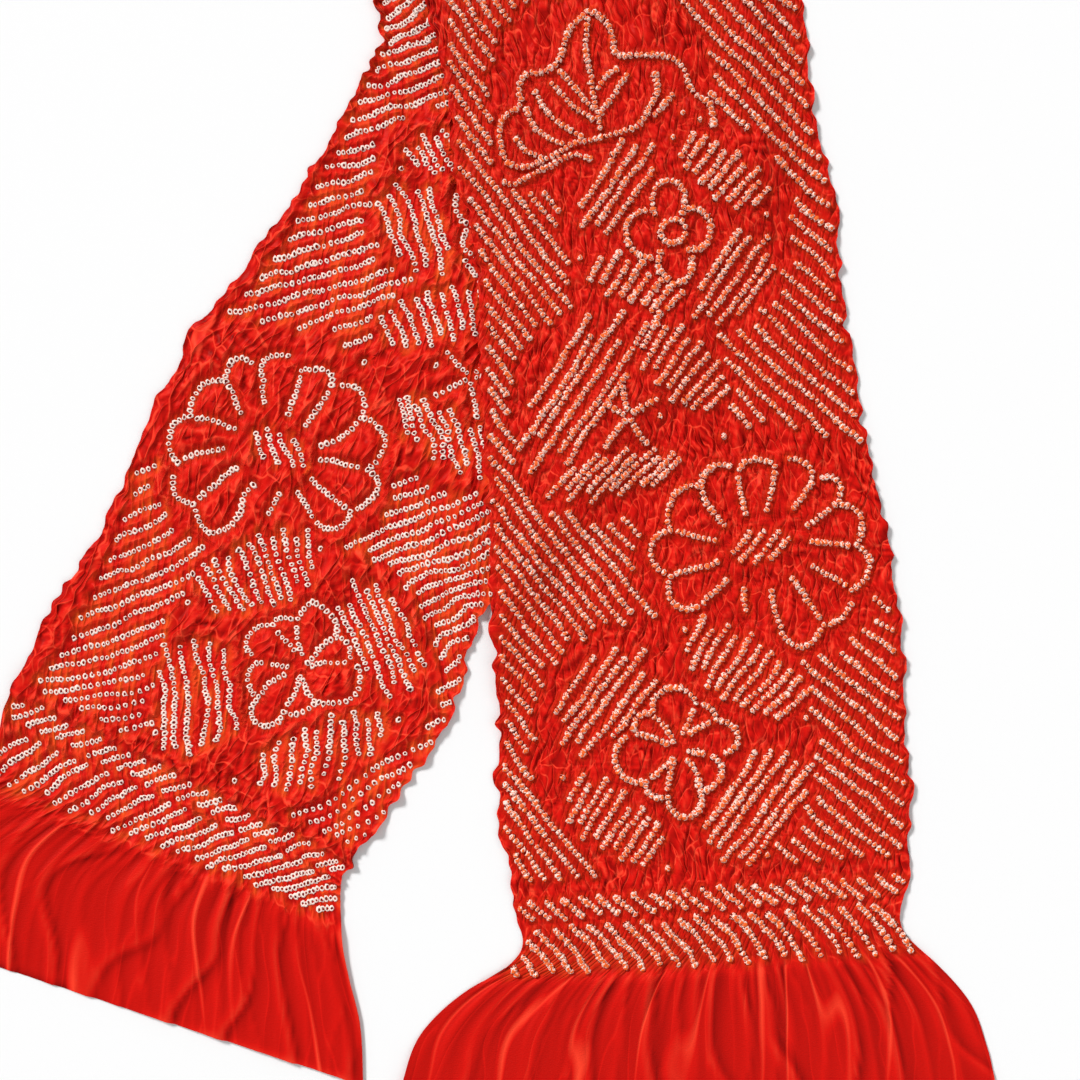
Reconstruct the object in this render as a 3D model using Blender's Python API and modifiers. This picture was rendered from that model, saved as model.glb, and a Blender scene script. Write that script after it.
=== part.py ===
"""Shibori obiage: one length of tie-dyed red silk, folded in half and laid flat.

The fold is at the top. The upper half lies face up and the lower half, with its back up, goes under it
and splays to the left. Each half has a wide tied body drawn in by thousands of small knots, a pinched
double band, and a plain untied end that flares in gathers.
"""

import bmesh
import bpy
import numpy as np

MILLIMETRE = 0.001

# The cloth, in metres
CLOTH_THICKNESS = 0.003
FLOOR_TO_MIDDLE = CLOTH_THICKNESS / 2
LAYER_STEP = 0.0052
BEND_RADIUS = LAYER_STEP / 2
HALF_LENGTH = 0.701
HALF_TIED_WIDTH = 0.098
SETTLE_HEIGHT = 0.0016

# How the upper half comes down past the edge of the lower one
DRAPE_START = 0.005
DRAPE_END = 0.032

# The tied body's soft ripples and its scalloped selvages
RIPPLE_WIDTH = 0.047
RIPPLE_LENGTH = 0.083
RIPPLE_HEIGHT = 0.0014
RIPPLE_DRIFT = (0.061, 0.037)
SCALLOP_LENGTH = 0.021
SCALLOP_DEPTH = 0.0024
SCALLOP_INNER_EDGE = 0.8
END_SCALLOP_SHARE = 0.35
FOLD_FADE = 0.03
SCALLOP_FADE = 0.02
COVERED_SHARE = 0.25
COVERED_MARGIN = 0.01

# The gathers of the plain ends
GATHER_START = 0.596
GATHER_FULL = 0.636
GATHER_COUNT = 8
GATHER_HEIGHT = 0.0034
GATHER_LEAN = 0.6

# Mesh
COLUMNS = 18
FOLD_ROWS = 6
HIDDEN_ROWS = 14
BODY_ROWS = 50
END_ROWS = 14
EDGE_SAMPLES = 240
FOLD_ZONE = 0.012
HIDDEN_ZONE = 0.150

# Where the two selvages of each half lie. Each row is a line across the cloth:
# (distance from the fold, left edge x, left edge y, right edge x, right edge y), in mm,
# x to the right and y away from the plain ends, from the middle of the fold.
UPPER_HALF = (
    (0.0, -89.5, -8.0, 89.5, 8.0),
    (80.0, -75.0, -88.0, 104.0, -66.0),
    (160.5, -56.0, -172.0, 123.0, -141.0),
    (205.0, -48.5, -214.0, 130.0, -186.5),
    (270.0, -38.0, -277.0, 141.0, -252.0),
    (325.0, -36.0, -331.5, 147.5, -307.0),
    (378.5, -33.5, -382.0, 158.5, -363.0),
    (431.0, -31.0, -434.5, 168.0, -415.0),
    (486.0, -29.0, -488.0, 174.0, -472.0),
    (540.0, -28.0, -541.0, 177.0, -526.0),
    (581.0, -21.0, -582.0, 176.0, -567.5),
    (611.0, -23.0, -612.0, 176.0, -598.0),
    (622.0, -44.0, -625.0, 190.0, -611.0),
    (640.0, -65.0, -644.0, 206.0, -629.0),
    (665.0, -76.0, -670.0, 216.0, -654.0),
    (701.0, -81.0, -706.0, 222.0, -689.0),
)
LOWER_HALF = (
    (0.0, -89.5, -8.0, 89.5, 8.0),
    (60.0, -90.0, -69.0, 91.0, -58.0),
    (125.0, -89.5, -122.0, 90.0, -140.0),
    (190.5, -89.0, -157.0, 89.0, -222.0),
    (242.0, -106.5, -190.0, 64.0, -283.0),
    (292.5, -127.0, -224.0, 30.0, -334.0),
    (339.0, -151.0, -259.0, -1.0, -379.0),
    (386.0, -180.5, -297.0, -30.0, -424.0),
    (432.0, -204.0, -344.0, -43.0, -455.0),
    (479.0, -226.0, -393.0, -54.0, -491.0),
    (514.0, -243.0, -422.0, -73.0, -518.0),
    (548.0, -259.0, -452.0, -92.0, -548.0),
    (580.0, -274.0, -481.0, -105.0, -567.0),
    (607.0, -286.0, -511.0, -107.0, -582.0),
    (622.0, -311.0, -520.0, -106.0, -600.0),
    (642.0, -337.0, -534.0, -103.0, -617.0),
    (666.0, -354.0, -555.0, -97.5, -640.0),
    (701.0, -364.0, -590.0, -95.5, -676.0),
)

# Main folds of the cloth beside the small ripples, as they run on each half. Each row is
# (side: 1 upper or -1 lower, distance at the start, across at the start, distance at the end,
#  across at the end, width in mm, height in mm), with across from -1 at the left selvage to 1 at the right.
MAIN_FOLDS = (
    (1, 395.0, -0.92, 470.0, -0.62, 17.0, 1.5),
    (1, 440.0, -0.60, 520.0, -0.85, 16.0, 1.2),
    (1, 330.0, -0.35, 372.0, 0.10, 16.0, 1.3),
    (1, 296.0, 0.45, 360.0, 0.86, 17.0, 1.2),
    (1, 375.0, 0.12, 452.0, 0.02, 18.0, 1.6),
    (1, 470.0, 0.30, 545.0, 0.55, 18.0, 1.4),
    (1, 545.0, -0.70, 590.0, -0.20, 16.0, 1.3),
    (1, 175.0, -0.20, 235.0, 0.05, 17.0, 1.1),
    (-1, 262.0, -0.60, 352.0, -0.35, 18.0, 1.4),
    (-1, 345.0, -0.05, 430.0, 0.22, 18.0, 1.6),
    (-1, 420.0, -0.70, 505.0, -0.45, 17.0, 1.3),
    (-1, 470.0, 0.40, 560.0, 0.62, 17.0, 1.5),
    (-1, 520.0, -0.25, 590.0, 0.00, 16.0, 1.2),
)

SILK_RED = (0.60, 0.010, 0.006, 1.0)
SILK_ROUGHNESS = 0.5


def smooth_step(value, start, end):
    """0 before start, 1 past end, and an S curve between."""
    share = np.clip((value - start) / (end - start), 0.0, 1.0)
    return share * share * (3.0 - 2.0 * share)


def smooth_table(distance, table):
    """The two edge points at each distance, by a smooth curve through the table's rows."""
    rows = np.array(table) * MILLIMETRE
    at = rows[:, 0]
    slopes = np.gradient(rows[:, 1:], at, axis=0)
    first = np.clip(np.searchsorted(at, distance, side="right") - 1, 0, len(at) - 2)
    span = (at[first + 1] - at[first])[:, None]
    share = (distance[:, None] - at[first][:, None]) / span
    squared = share * share
    cubed = squared * share
    return (
        (2.0 * cubed - 3.0 * squared + 1.0) * rows[first, 1:]
        + (cubed - 2.0 * squared + share) * span * slopes[first]
        + (3.0 * squared - 2.0 * cubed) * rows[first + 1, 1:]
        + (cubed - squared) * span * slopes[first + 1]
    )


def plan_of(across, distance, table):
    """The (x, y) of cloth points on one half, seen from above."""
    edges = smooth_table(distance, table)
    share = ((across + 1.0) / 2.0)[:, None]
    return edges[:, 0:2] * (1.0 - share) + edges[:, 2:4] * share


def past_lower_edge(points):
    """How far each point is beyond the right selvage of the lower half, negative over the cloth."""
    along = np.linspace(0.0, HALF_LENGTH, EDGE_SAMPLES)
    edge = smooth_table(along, LOWER_HALF)[:, 2:4]
    start = edge[:-1]
    step = edge[1:] - start
    offset = points[:, None, :] - start[None, :, :]
    share = np.clip((offset * step).sum(2) / (step * step).sum(1), 0.0, 1.0)
    gap = offset - share[:, :, None] * step
    length = np.sqrt((gap * gap).sum(2))
    nearest = length.argmin(1)
    row = np.arange(len(points))
    turn = step[nearest, 0] * offset[row, nearest, 1] - step[nearest, 1] * offset[row, nearest, 0]
    return np.where(turn > 0.0, length[row, nearest], -length[row, nearest])


def ripples(across, distance, side):
    """Soft uneven waves that run along the cloth, between 0 and 1."""
    drift = 0.9 * np.sin(distance / RIPPLE_DRIFT[0] + 1.3 * side)
    drift += 0.6 * np.sin(distance / RIPPLE_DRIFT[1] + 2.0 * across)
    first = np.sin(2.0 * np.pi * across * HALF_TIED_WIDTH / RIPPLE_WIDTH + drift)
    second = np.sin(2.0 * np.pi * distance / RIPPLE_LENGTH + 4.0 * across + side)
    return 0.5 + 0.32 * first + 0.18 * second


def main_folds(across, distance, side):
    """The height of the main folds: a rounded ridge along each row of the table, fading at its ends."""
    height = np.zeros(len(across))
    place = np.stack([distance, across * HALF_TIED_WIDTH], axis=1)
    for half, start, across_start, end, across_end, width, tall in MAIN_FOLDS:
        begin = np.array([start * MILLIMETRE, across_start * HALF_TIED_WIDTH])
        line = np.array([end * MILLIMETRE, across_end * HALF_TIED_WIDTH]) - begin
        share = np.clip(((place - begin) @ line) / (line @ line), 0.0, 1.0)
        away = np.linalg.norm(place - begin - share[:, None] * line, axis=1) / (width * MILLIMETRE)
        ridge = np.exp(-3.0 * away * away) * (0.4 + 0.6 * np.sin(np.pi * share))
        height += np.where(side == half, ridge * tall * MILLIMETRE, 0.0)
    return height


def gathers(across, distance, side):
    """The folds of a plain end: uneven ridges fanning out from the pinched band, between 0 and 1."""
    lean = GATHER_LEAN * (distance - GATHER_START) / (HALF_LENGTH - GATHER_START)
    wave = np.cos(np.pi * GATHER_COUNT * (across + 1.0) + lean * np.sin(3.0 * across + side))
    uneven = 0.74 + 0.26 * np.sin(5.3 * across + 1.7 * side + 9.0 * distance)
    return (0.5 + 0.5 * wave) * uneven


def scallops(distance, across, side):
    """How far a selvage is pushed out by its small frills, which are uneven along it."""
    turn = 2.0 * np.pi * distance / SCALLOP_LENGTH
    return 0.62 * np.sin(turn + 1.9 * across + side) + 0.38 * np.sin(0.63 * turn + 2.6 * across)


def cloth_points(across, distance):
    """Cloth coordinates to the laid shape. across runs from -1 to 1 and distance is signed:
    above 0 on the upper half, below 0 on the lower half, and 0 along the fold."""
    side = np.where(distance >= 0.0, 1.0, -1.0)
    quarter_bend = np.pi * BEND_RADIUS / 2.0
    reach = np.maximum(np.abs(distance) - quarter_bend, 0.0)
    upper = plan_of(across, reach, UPPER_HALF)
    lower = plan_of(across, reach, LOWER_HALF)
    plan = np.where(side[:, None] > 0.0, upper, lower)

    tied = smooth_step(reach, 0.0, FOLD_FADE) * (1.0 - smooth_step(reach, GATHER_START, GATHER_FULL))
    gathered = smooth_step(reach, GATHER_START, GATHER_FULL)

    edges = np.where(
        side[:, None] > 0.0, smooth_table(reach, UPPER_HALF), smooth_table(reach, LOWER_HALF)
    )
    outward = edges[:, 2:4] - edges[:, 0:2]
    outward /= np.linalg.norm(outward, axis=1)[:, None]
    at_selvage = np.sign(across) * smooth_step(np.abs(across), SCALLOP_INNER_EDGE, 1.0)
    share = END_SCALLOP_SHARE + (1.0 - END_SCALLOP_SHARE) * tied
    push = SCALLOP_DEPTH * share * smooth_step(reach, 0.0, SCALLOP_FADE)
    plan = plan + outward * (at_selvage * push * scallops(reach, across, side))[:, None]

    past = past_lower_edge(plan)
    over_lower = 1.0 - smooth_step(past, DRAPE_START, DRAPE_END)
    body = RIPPLE_HEIGHT * ripples(across, reach, side) + main_folds(across, reach, side)
    upper_edge = smooth_table(reach, UPPER_HALF)[:, 0]
    under_upper = (side < 0.0) & (plan[:, 0] > upper_edge - COVERED_MARGIN)
    body = body * np.where(under_upper, COVERED_SHARE, 1.0) * tied
    relief = body + GATHER_HEIGHT * gathers(across, reach, side) * gathered

    lift = np.where(side > 0.0, LAYER_STEP * over_lower, 0.0)
    height = FLOOR_TO_MIDDLE + lift + relief

    # Round the fold itself the cloth follows half a circle.
    angle = np.clip(distance / BEND_RADIUS, -np.pi / 2.0, np.pi / 2.0)
    bending = np.abs(distance) < quarter_bend
    bent_height = FLOOR_TO_MIDDLE + BEND_RADIUS * (1.0 + np.sin(angle))
    fold_line = np.array([UPPER_HALF[0][3] - UPPER_HALF[0][1], UPPER_HALF[0][4] - UPPER_HALF[0][2]])
    fold_normal = np.array([-fold_line[1], fold_line[0]]) / np.linalg.norm(fold_line)
    outside = np.where(bending, BEND_RADIUS * np.cos(angle), 0.0)
    plan = plan + outside[:, None] * fold_normal
    return np.column_stack([plan, np.where(bending, bent_height, height)])


def row_distances():
    """The distance of each row of the grid from the fold, close together at the fold and at the ends."""
    bend = np.linspace(0.0, FOLD_ZONE, FOLD_ROWS + 1)[1:]
    hidden = np.linspace(FOLD_ZONE, HIDDEN_ZONE, HIDDEN_ROWS + 1)[1:]
    body = np.linspace(HIDDEN_ZONE, GATHER_START, BODY_ROWS + 1)[1:]
    end = np.linspace(GATHER_START, HALF_LENGTH, END_ROWS + 1)[1:]
    half = np.concatenate([bend, hidden, body, end])
    return np.concatenate([-half[::-1], [0.0], half])


def cloth_mesh(name):
    """A flat grid primitive with its selvages divided once more, moved onto the laid shape."""
    distances = row_distances()
    rows = len(distances) - 1
    surface = bmesh.new()
    bmesh.ops.create_grid(surface, x_segments=COLUMNS, y_segments=rows, size=0.5)
    selvages = [
        edge
        for edge in surface.edges
        if edge.is_boundary and abs(abs(edge.verts[0].co.x + edge.verts[1].co.x) - 1.0) < 1e-4
    ]
    bmesh.ops.subdivide_edges(surface, edges=selvages, cuts=1)
    flat = np.array([vertex.co[:] for vertex in surface.verts])
    across = np.clip(flat[:, 0] * 2.0, -1.0, 1.0)
    row_number = (flat[:, 1] + 0.5) * rows
    distance = np.interp(row_number, np.arange(rows + 1), distances)
    placed = cloth_points(across, distance)
    for vertex, point in zip(surface.verts, placed):
        vertex.co = point
    bmesh.ops.recalc_face_normals(surface, faces=surface.faces)
    mesh = bpy.data.meshes.new(name)
    surface.to_mesh(mesh)
    surface.free()
    return mesh


def red_silk():
    """Crimson silk crepe."""
    material = bpy.data.materials.new("red_silk")
    material.use_nodes = True
    shader = material.node_tree.nodes["Principled BSDF"]
    shader.inputs["Base Color"].default_value = SILK_RED
    shader.inputs["Roughness"].default_value = SILK_ROUGHNESS
    return material


def add_cloth(collection):
    """The whole cloth as one solid of even thickness, flat underneath where it lies on the surface."""
    cloth = bpy.data.objects.new("obiage_cloth", cloth_mesh("obiage_cloth"))
    collection.objects.link(cloth)
    bpy.context.view_layer.objects.active = cloth
    cloth.select_set(True)
    shell = cloth.modifiers.new("thickness", "SOLIDIFY")
    shell.thickness = CLOTH_THICKNESS
    shell.offset = 0.0
    bpy.ops.object.modifier_apply(modifier=shell.name)

    points = np.empty(len(cloth.data.vertices) * 3)
    cloth.data.vertices.foreach_get("co", points)
    points = points.reshape(-1, 3)
    points[points[:, 2] < SETTLE_HEIGHT, 2] = 0.0
    middle = (points[:, 0:2].min(0) + points[:, 0:2].max(0)) / 2.0
    points[:, 0:2] -= middle
    cloth.data.vertices.foreach_set("co", points.ravel())
    cloth.data.update()
    cloth.data.materials.append(red_silk())
    return cloth


def main():
    for old in list(bpy.data.objects):
        bpy.data.objects.remove(old, do_unlink=True)
    collection = bpy.data.collections.new("shibori_obiage")
    bpy.context.scene.collection.children.link(collection)
    add_cloth(collection)


main()
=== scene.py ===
"""Looks of a shibori obiage: a length of red silk, knot-tied all over, folded in half and laid flat.

The upper half shows the face of the cloth, with its raised knots, and the lower half shows the back, with a
pale hollow ring behind each knot. The pattern is laid out once, in millimetres on the upper half as it lies,
carried back to the cloth and repeated on the lower half turned by half a turn about the cloth's middle.
"""

import bpy
import numpy as np
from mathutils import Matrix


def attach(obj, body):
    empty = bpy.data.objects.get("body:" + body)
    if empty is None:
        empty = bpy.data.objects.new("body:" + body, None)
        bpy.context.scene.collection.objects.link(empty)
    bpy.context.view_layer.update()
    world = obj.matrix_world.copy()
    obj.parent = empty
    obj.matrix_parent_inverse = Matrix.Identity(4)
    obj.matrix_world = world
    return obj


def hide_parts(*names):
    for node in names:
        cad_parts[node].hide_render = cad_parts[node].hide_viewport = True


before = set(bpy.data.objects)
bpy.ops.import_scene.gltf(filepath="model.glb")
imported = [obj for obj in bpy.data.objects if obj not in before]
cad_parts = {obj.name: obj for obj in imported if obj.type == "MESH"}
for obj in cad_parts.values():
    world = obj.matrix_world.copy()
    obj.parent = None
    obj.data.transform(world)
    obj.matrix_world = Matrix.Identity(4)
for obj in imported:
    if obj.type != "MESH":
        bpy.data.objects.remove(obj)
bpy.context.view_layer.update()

bl_info = {
    "name": "Shibori obiage",
    "version": (1, 0, 0),
    "blender": (4, 5, 0),
    "location": "View3D > Sidebar > Obiage",
    "description": "Builds the look of a knot-tied silk obiage, folded in half and laid flat",
    "category": "Object",
}

MILLIMETRE = 0.001
CLOTH_NODE = "obiage_cloth"
SILK_SLOT = "red_silk"

# The laid cloth, as in the part's source
CLOTH_THICKNESS = 0.003
FLOOR_TO_MIDDLE = CLOTH_THICKNESS / 2
LAYER_STEP = 0.0052
BEND_RADIUS = LAYER_STEP / 2
QUARTER_BEND = 3.141593 * BEND_RADIUS / 2
HALF_LENGTH = 0.701
HALF_TIED_WIDTH = 0.098
FOLD_TO_CENTRE = (0.07054929, 0.34498861)
DRAPE_START = 0.005
DRAPE_END = 0.032
RIPPLE_WIDTH = 0.047
RIPPLE_LENGTH = 0.083
RIPPLE_HEIGHT = 0.0014
COVERED_SHARE = 0.25
GATHER_START = 0.596
GATHER_FULL = 0.636
GATHER_COUNT = 9

# The selvages of each half, a row for each line across the cloth: (distance from the fold, left edge x,
# left edge y, right edge x, right edge y), in mm from the fold's middle
UPPER_HALF = (
    (0.0, -89.5, -8.0, 89.5, 8.0),
    (80.0, -75.0, -88.0, 104.0, -66.0),
    (160.5, -56.0, -172.0, 123.0, -141.0),
    (205.0, -48.5, -214.0, 130.0, -186.5),
    (270.0, -38.0, -277.0, 141.0, -252.0),
    (325.0, -36.0, -331.5, 147.5, -307.0),
    (378.5, -33.5, -382.0, 158.5, -363.0),
    (431.0, -31.0, -434.5, 168.0, -415.0),
    (486.0, -29.0, -488.0, 174.0, -472.0),
    (540.0, -28.0, -541.0, 177.0, -526.0),
    (581.0, -21.0, -582.0, 176.0, -567.5),
    (611.0, -23.0, -612.0, 176.0, -598.0),
    (622.0, -44.0, -625.0, 190.0, -611.0),
    (640.0, -65.0, -644.0, 206.0, -629.0),
    (665.0, -76.0, -670.0, 216.0, -654.0),
    (701.0, -81.0, -706.0, 222.0, -689.0),
)
LOWER_HALF = (
    (0.0, -89.5, -8.0, 89.5, 8.0),
    (60.0, -90.0, -69.0, 91.0, -58.0),
    (125.0, -89.5, -122.0, 90.0, -140.0),
    (190.5, -89.0, -157.0, 89.0, -222.0),
    (242.0, -106.5, -190.0, 64.0, -283.0),
    (292.5, -127.0, -224.0, 30.0, -334.0),
    (339.0, -151.0, -259.0, -1.0, -379.0),
    (386.0, -180.5, -297.0, -30.0, -424.0),
    (432.0, -204.0, -344.0, -43.0, -455.0),
    (479.0, -226.0, -393.0, -54.0, -491.0),
    (514.0, -243.0, -422.0, -73.0, -518.0),
    (548.0, -259.0, -452.0, -92.0, -548.0),
    (580.0, -274.0, -481.0, -105.0, -567.0),
    (607.0, -286.0, -511.0, -107.0, -582.0),
    (622.0, -311.0, -520.0, -106.0, -600.0),
    (642.0, -337.0, -534.0, -103.0, -617.0),
    (666.0, -354.0, -555.0, -97.5, -640.0),
    (701.0, -364.0, -590.0, -95.5, -676.0),
)

# Main folds beside the ripples: (side, distance at the start, across at the start, distance at the end,
# across at the end, width in mm, height in mm), with across from -1 to 1 between the selvages
MAIN_FOLDS = (
    (1, 395.0, -0.92, 470.0, -0.62, 17.0, 1.5),
    (1, 440.0, -0.60, 520.0, -0.85, 16.0, 1.2),
    (1, 330.0, -0.35, 372.0, 0.10, 16.0, 1.3),
    (1, 296.0, 0.45, 360.0, 0.86, 17.0, 1.2),
    (1, 375.0, 0.12, 452.0, 0.02, 18.0, 1.6),
    (1, 470.0, 0.30, 545.0, 0.55, 18.0, 1.4),
    (1, 545.0, -0.70, 590.0, -0.20, 16.0, 1.3),
    (1, 175.0, -0.20, 235.0, 0.05, 17.0, 1.1),
    (-1, 262.0, -0.60, 352.0, -0.35, 18.0, 1.4),
    (-1, 345.0, -0.05, 430.0, 0.22, 18.0, 1.6),
    (-1, 420.0, -0.70, 505.0, -0.45, 17.0, 1.3),
    (-1, 470.0, 0.40, 560.0, 0.62, 17.0, 1.5),
    (-1, 520.0, -0.25, 590.0, 0.00, 16.0, 1.2),
)

# The dyer's layout on the upper half: mm to the right and down from this corner, itself given as
# mm from the middle of the fold
LAYOUT_CORNER = (-277.5, -130.0)

# Ground stripes, in mm of the layout, with the lowest and highest number and where they end, in metres from
# the fold; their wavers are (height, length, step from stripe to stripe)
STRIPE_PITCH = 10.3
STRIPE_SLOPE = 1.36
STRIPE_BEND = 0.0015
STRIPE_ORIGIN = 245.0
STRIPE_LEFT = 225.0
STRIPE_RIGHT = 460.0
STRIPE_NUMBERS = (-40, 62)
STRIPE_WAVERS = ((0.55, 9.0, 1.7), (0.3, 3.9, 1.0))
STRIPE_END = 0.570
STRIPE_SHARE = 0.965
FEWEST_STRIPE_POINTS = 13
ZONE_POWER = 2.5

# Where no stripe runs: (centre x, centre y, radius across, radius along)
CLEAR_ZONES = (
    (293.0, -48.0, 56.0, 52.0),
    (300.0, 48.0, 56.0, 52.0),
    (268.0, 87.0, 22.0, 11.0),
    (338.0, 114.0, 58.0, 56.0),
    (311.0, 207.5, 56.0, 54.0),
    (380.0, 272.0, 63.0, 60.0),
    (337.0, 373.0, 71.0, 65.0),
)

# Lens-shaped groups of slanting rows: (centre x, centre y, rows, pitch, axis turn down from +x,
# first row's turn up from +x, last row's turn, longest row)
ROW_GROUPS = (
    (268.0, -62.0, 4, 6.3, 33.0, 56.0, 54.0, 50.0),
    (326.0, -77.0, 9, 5.4, 36.0, 60.0, 44.0, 21.0),
    (322.0, -22.0, 5, 6.2, 33.0, 55.0, 53.0, 50.0),
    (266.0, -14.0, 8, 5.4, 36.0, 62.0, 50.0, 20.0),
    (308.0, 94.5, 4, 6.3, 33.0, 57.0, 54.0, 52.0),
    (360.5, 88.0, 9, 5.6, 37.0, 60.0, 44.0, 22.0),
    (367.0, 140.5, 5, 6.0, 33.0, 56.0, 52.0, 48.0),
    (317.5, 143.0, 8, 6.0, 24.0, 60.0, 50.0, 19.0),
    (289.0, 196.0, 6, 6.2, 33.0, 57.0, 55.0, 80.0),
    (341.0, 184.0, 9, 5.8, 42.0, 62.0, 44.0, 29.0),
    (308.0, 237.0, 9, 6.4, -4.0, 50.0, 44.0, 31.0),
    (379.5, 273.0, 4, 6.2, 10.0, 52.0, 48.0, 19.0),
    (301.0, 349.0, 6, 6.2, 33.0, 56.0, 52.0, 54.0),
    (371.0, 335.0, 11, 5.9, 33.0, 66.0, 40.0, 31.0),
    (378.0, 402.0, 6, 6.1, 33.0, 56.0, 52.0, 64.0),
    (306.5, 410.0, 10, 5.5, 36.0, 62.0, 52.0, 27.0),
)
SINGLE_KNOTS = (
    (382.5, 108.5),
    (289.5, 130.5),
    (340.5, 163.0),
    (335.5, 70.5),
    (348.5, 62.0),
    (340.0, 59.0),
    (329.5, 208.5),
    (361.5, 219.0),
    (341.5, 314.5),
    (402.0, 358.0),
    (280.5, 388.0),
    (333.5, 433.5),
    (383.5, 426.0),
)

# The petals of each flower: (turn of the parting line's inner end in degrees down from +x, its inner radius,
# turn of its outer end, its outer radius, the next petal's radius at its tip or 0 for none, the share of the
# way to the next line where its outline starts and the share where it ends)
FOUR_PETALS = (
    (-134.0, 11.0, -134.0, 11.0, 25.0, 0.0, 1.0),
    (-64.0, 9.0, -64.0, 9.0, 18.5, 0.0, 1.0),
    (51.0, 11.0, 51.0, 11.0, 25.5, 0.0, 1.0),
    (121.0, 11.5, 121.0, 11.5, 24.0, 0.0, 1.0),
)
TWELVE_PETALS = (
    (-120.0, 15.0, -109.0, 34.0, 41.5, 0.0, 1.0),
    (-80.0, 16.0, -79.0, 37.0, 44.5, 0.25, 1.0),
    (-46.0, 22.0, -49.0, 37.0, 48.5, 0.1, 1.0),
    (-20.0, 25.0, -26.0, 41.0, 51.0, 0.0, 1.0),
    (0.0, 24.0, 2.0, 47.0, 55.5, 0.0, 1.0),
    (26.0, 27.5, 28.0, 51.0, 56.0, 0.2, 1.0),
    (49.0, 23.5, 53.0, 51.0, 56.5, 0.0, 1.0),
    (78.0, 25.0, 78.0, 46.0, 0.0, 0.0, 1.0),
    (132.0, 26.0, 134.0, 42.0, 53.5, 0.0, 1.0),
    (156.0, 24.0, 160.0, 48.0, 55.0, 0.0, 1.0),
    (182.0, 22.5, 188.0, 44.0, 49.5, 0.0, 1.0),
    (204.0, 20.0, 222.0, 39.5, 45.0, 0.0, 0.9),
)
EIGHT_PETALS = (
    (-108.0, 5.0, -122.0, 20.5, 32.0, 0.0, 1.0),
    (-68.0, 8.0, -69.0, 25.5, 27.5, 0.0, 1.0),
    (-58.0, 8.0, -40.0, 24.5, 31.5, 0.0, 0.9),
    (0.0, 5.0, 6.0, 15.0, 25.0, 0.0, 1.0),
    (38.0, 7.0, 59.0, 22.0, 33.5, 0.0, 1.0),
    (112.0, 4.5, 101.0, 22.5, 25.0, 0.0, 1.0),
    (127.0, 4.0, 138.0, 20.0, 31.0, 0.0, 0.9),
    (216.0, 5.0, 203.0, 22.5, 26.0, 0.0, 1.0),
)
PETAL_FLOWERS = (
    ((336.0, 117.3), FOUR_PETALS),
    ((380.0, 270.8), TWELVE_PETALS),
    ((338.0, 375.5), EIGHT_PETALS),
)
SMALL_RING = (336.0, 117.3, 6.0)
# (turn in degrees down from +x, length)
STAR_CENTRE = (312.8, 208.5)
STAR_ARMS = ((-99.0, 20.0), (-28.0, 17.5), (52.0, 16.5), (124.0, 19.0), (206.0, 18.0))
LOOSE_STROKE = ((371.0, 294.0), (371.3, 300.0), (372.3, 306.0))

# The leaf's lines from its base, in mm: the outline in two parts, the midrib, four veins on its left, three
# on its right, and the stem
LEAF_BASE = (300.0, 67.5)
HIDDEN_LEAF_BASE = (291.0, -30.0)
LEAF_LINES = (
    ((-6, -60), (-15, -51), (-19, -39), (-23, -32), (-37, -27), (-40, -19), (-40, -12), (-49, -6), (-50, 4),
     (-47, 14), (-41, 18), (-32, 17), (-21, 11), (-12, 6), (0, 4), (10, 1), (18, -3), (24, -11), (28, -20),
     (27, -29)),
    ((-6, -60), (4, -52), (8, -39), (18, -38), (28, -37), (39, -33), (43, -25), (46, -20), (53, -14),
     (56, -3)),
    ((-7, -56), (-7, -39), (-5, -26), (-3, -12), (0, 0)),
    ((-20, -30), (-12, -20), (-1, -6)),
    ((-24, -24), (-15, -13), (-4, -5)),
    ((-32, -20), (-26, -9), (-17, -2), (-9, 3)),
    ((-37, -12), (-33, -3), (-26, 4), (-18, 7)),
    ((-42, 3), (-37, 9), (-29, 14)),
    ((8, -31), (2, -26), (-3, -19)),
    ((13, -28), (7, -18), (0, -8)),
    ((36, -18), (31, -12), (26, -7)),
    ((-49, 26), (-41, 26), (-29, 20), (-15, 12), (-4, 14)),
)

# The double band across the end of the tied body: (start, end, run across, pitch), in mm from the fold
BANDS = (
    (580.0, 589.5, 10.5, 8.6),
    (594.5, 616.0, 21.0, 9.2),
)
BAND_EDGE = 97.0
BAND_KNOT_EDGE = 95.5
FEWEST_BAND_POINTS = 4

# Knots along the rows, in mm: their pitch, the space that each needs and how far they stray
KNOT_PITCH = 2.62
BAND_KNOT_PITCH = 2.35
KNOT_SPACE = 2.05
KNOT_JITTER = 0.15
UPPER_WAVER = 1.6
LOWER_WAVER = 3.4
WAVER_SHORT = 9.0
WAVER_LONG = 12.0
KNOT_SHARE = 0.975
LOWER_KNOT_EDGE = 96.0
FIRST_BAND_ROW = 1000
SEED = 11

# How the lower half's pattern lies off the upper half's, its ties having drawn more cloth in: (distance,
# shift across, shift along in the middle, shift along more at each selvage), in mm
LOWER_DRIFT = (
    (200.0, 0.0, 0.0, 0.0),
    (330.0, 5.0, -17.0, -19.0),
    (400.0, 5.0, -17.0, -19.0),
    (440.0, 1.0, -17.0, -19.0),
    (480.0, 5.0, -17.0, -19.0),
    (510.0, 10.0, -16.0, -19.0),
    (545.0, 11.0, -14.0, -16.0),
    (575.0, 2.0, -6.0, -3.0),
    (610.0, 0.0, -4.0, 1.0),
)

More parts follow.
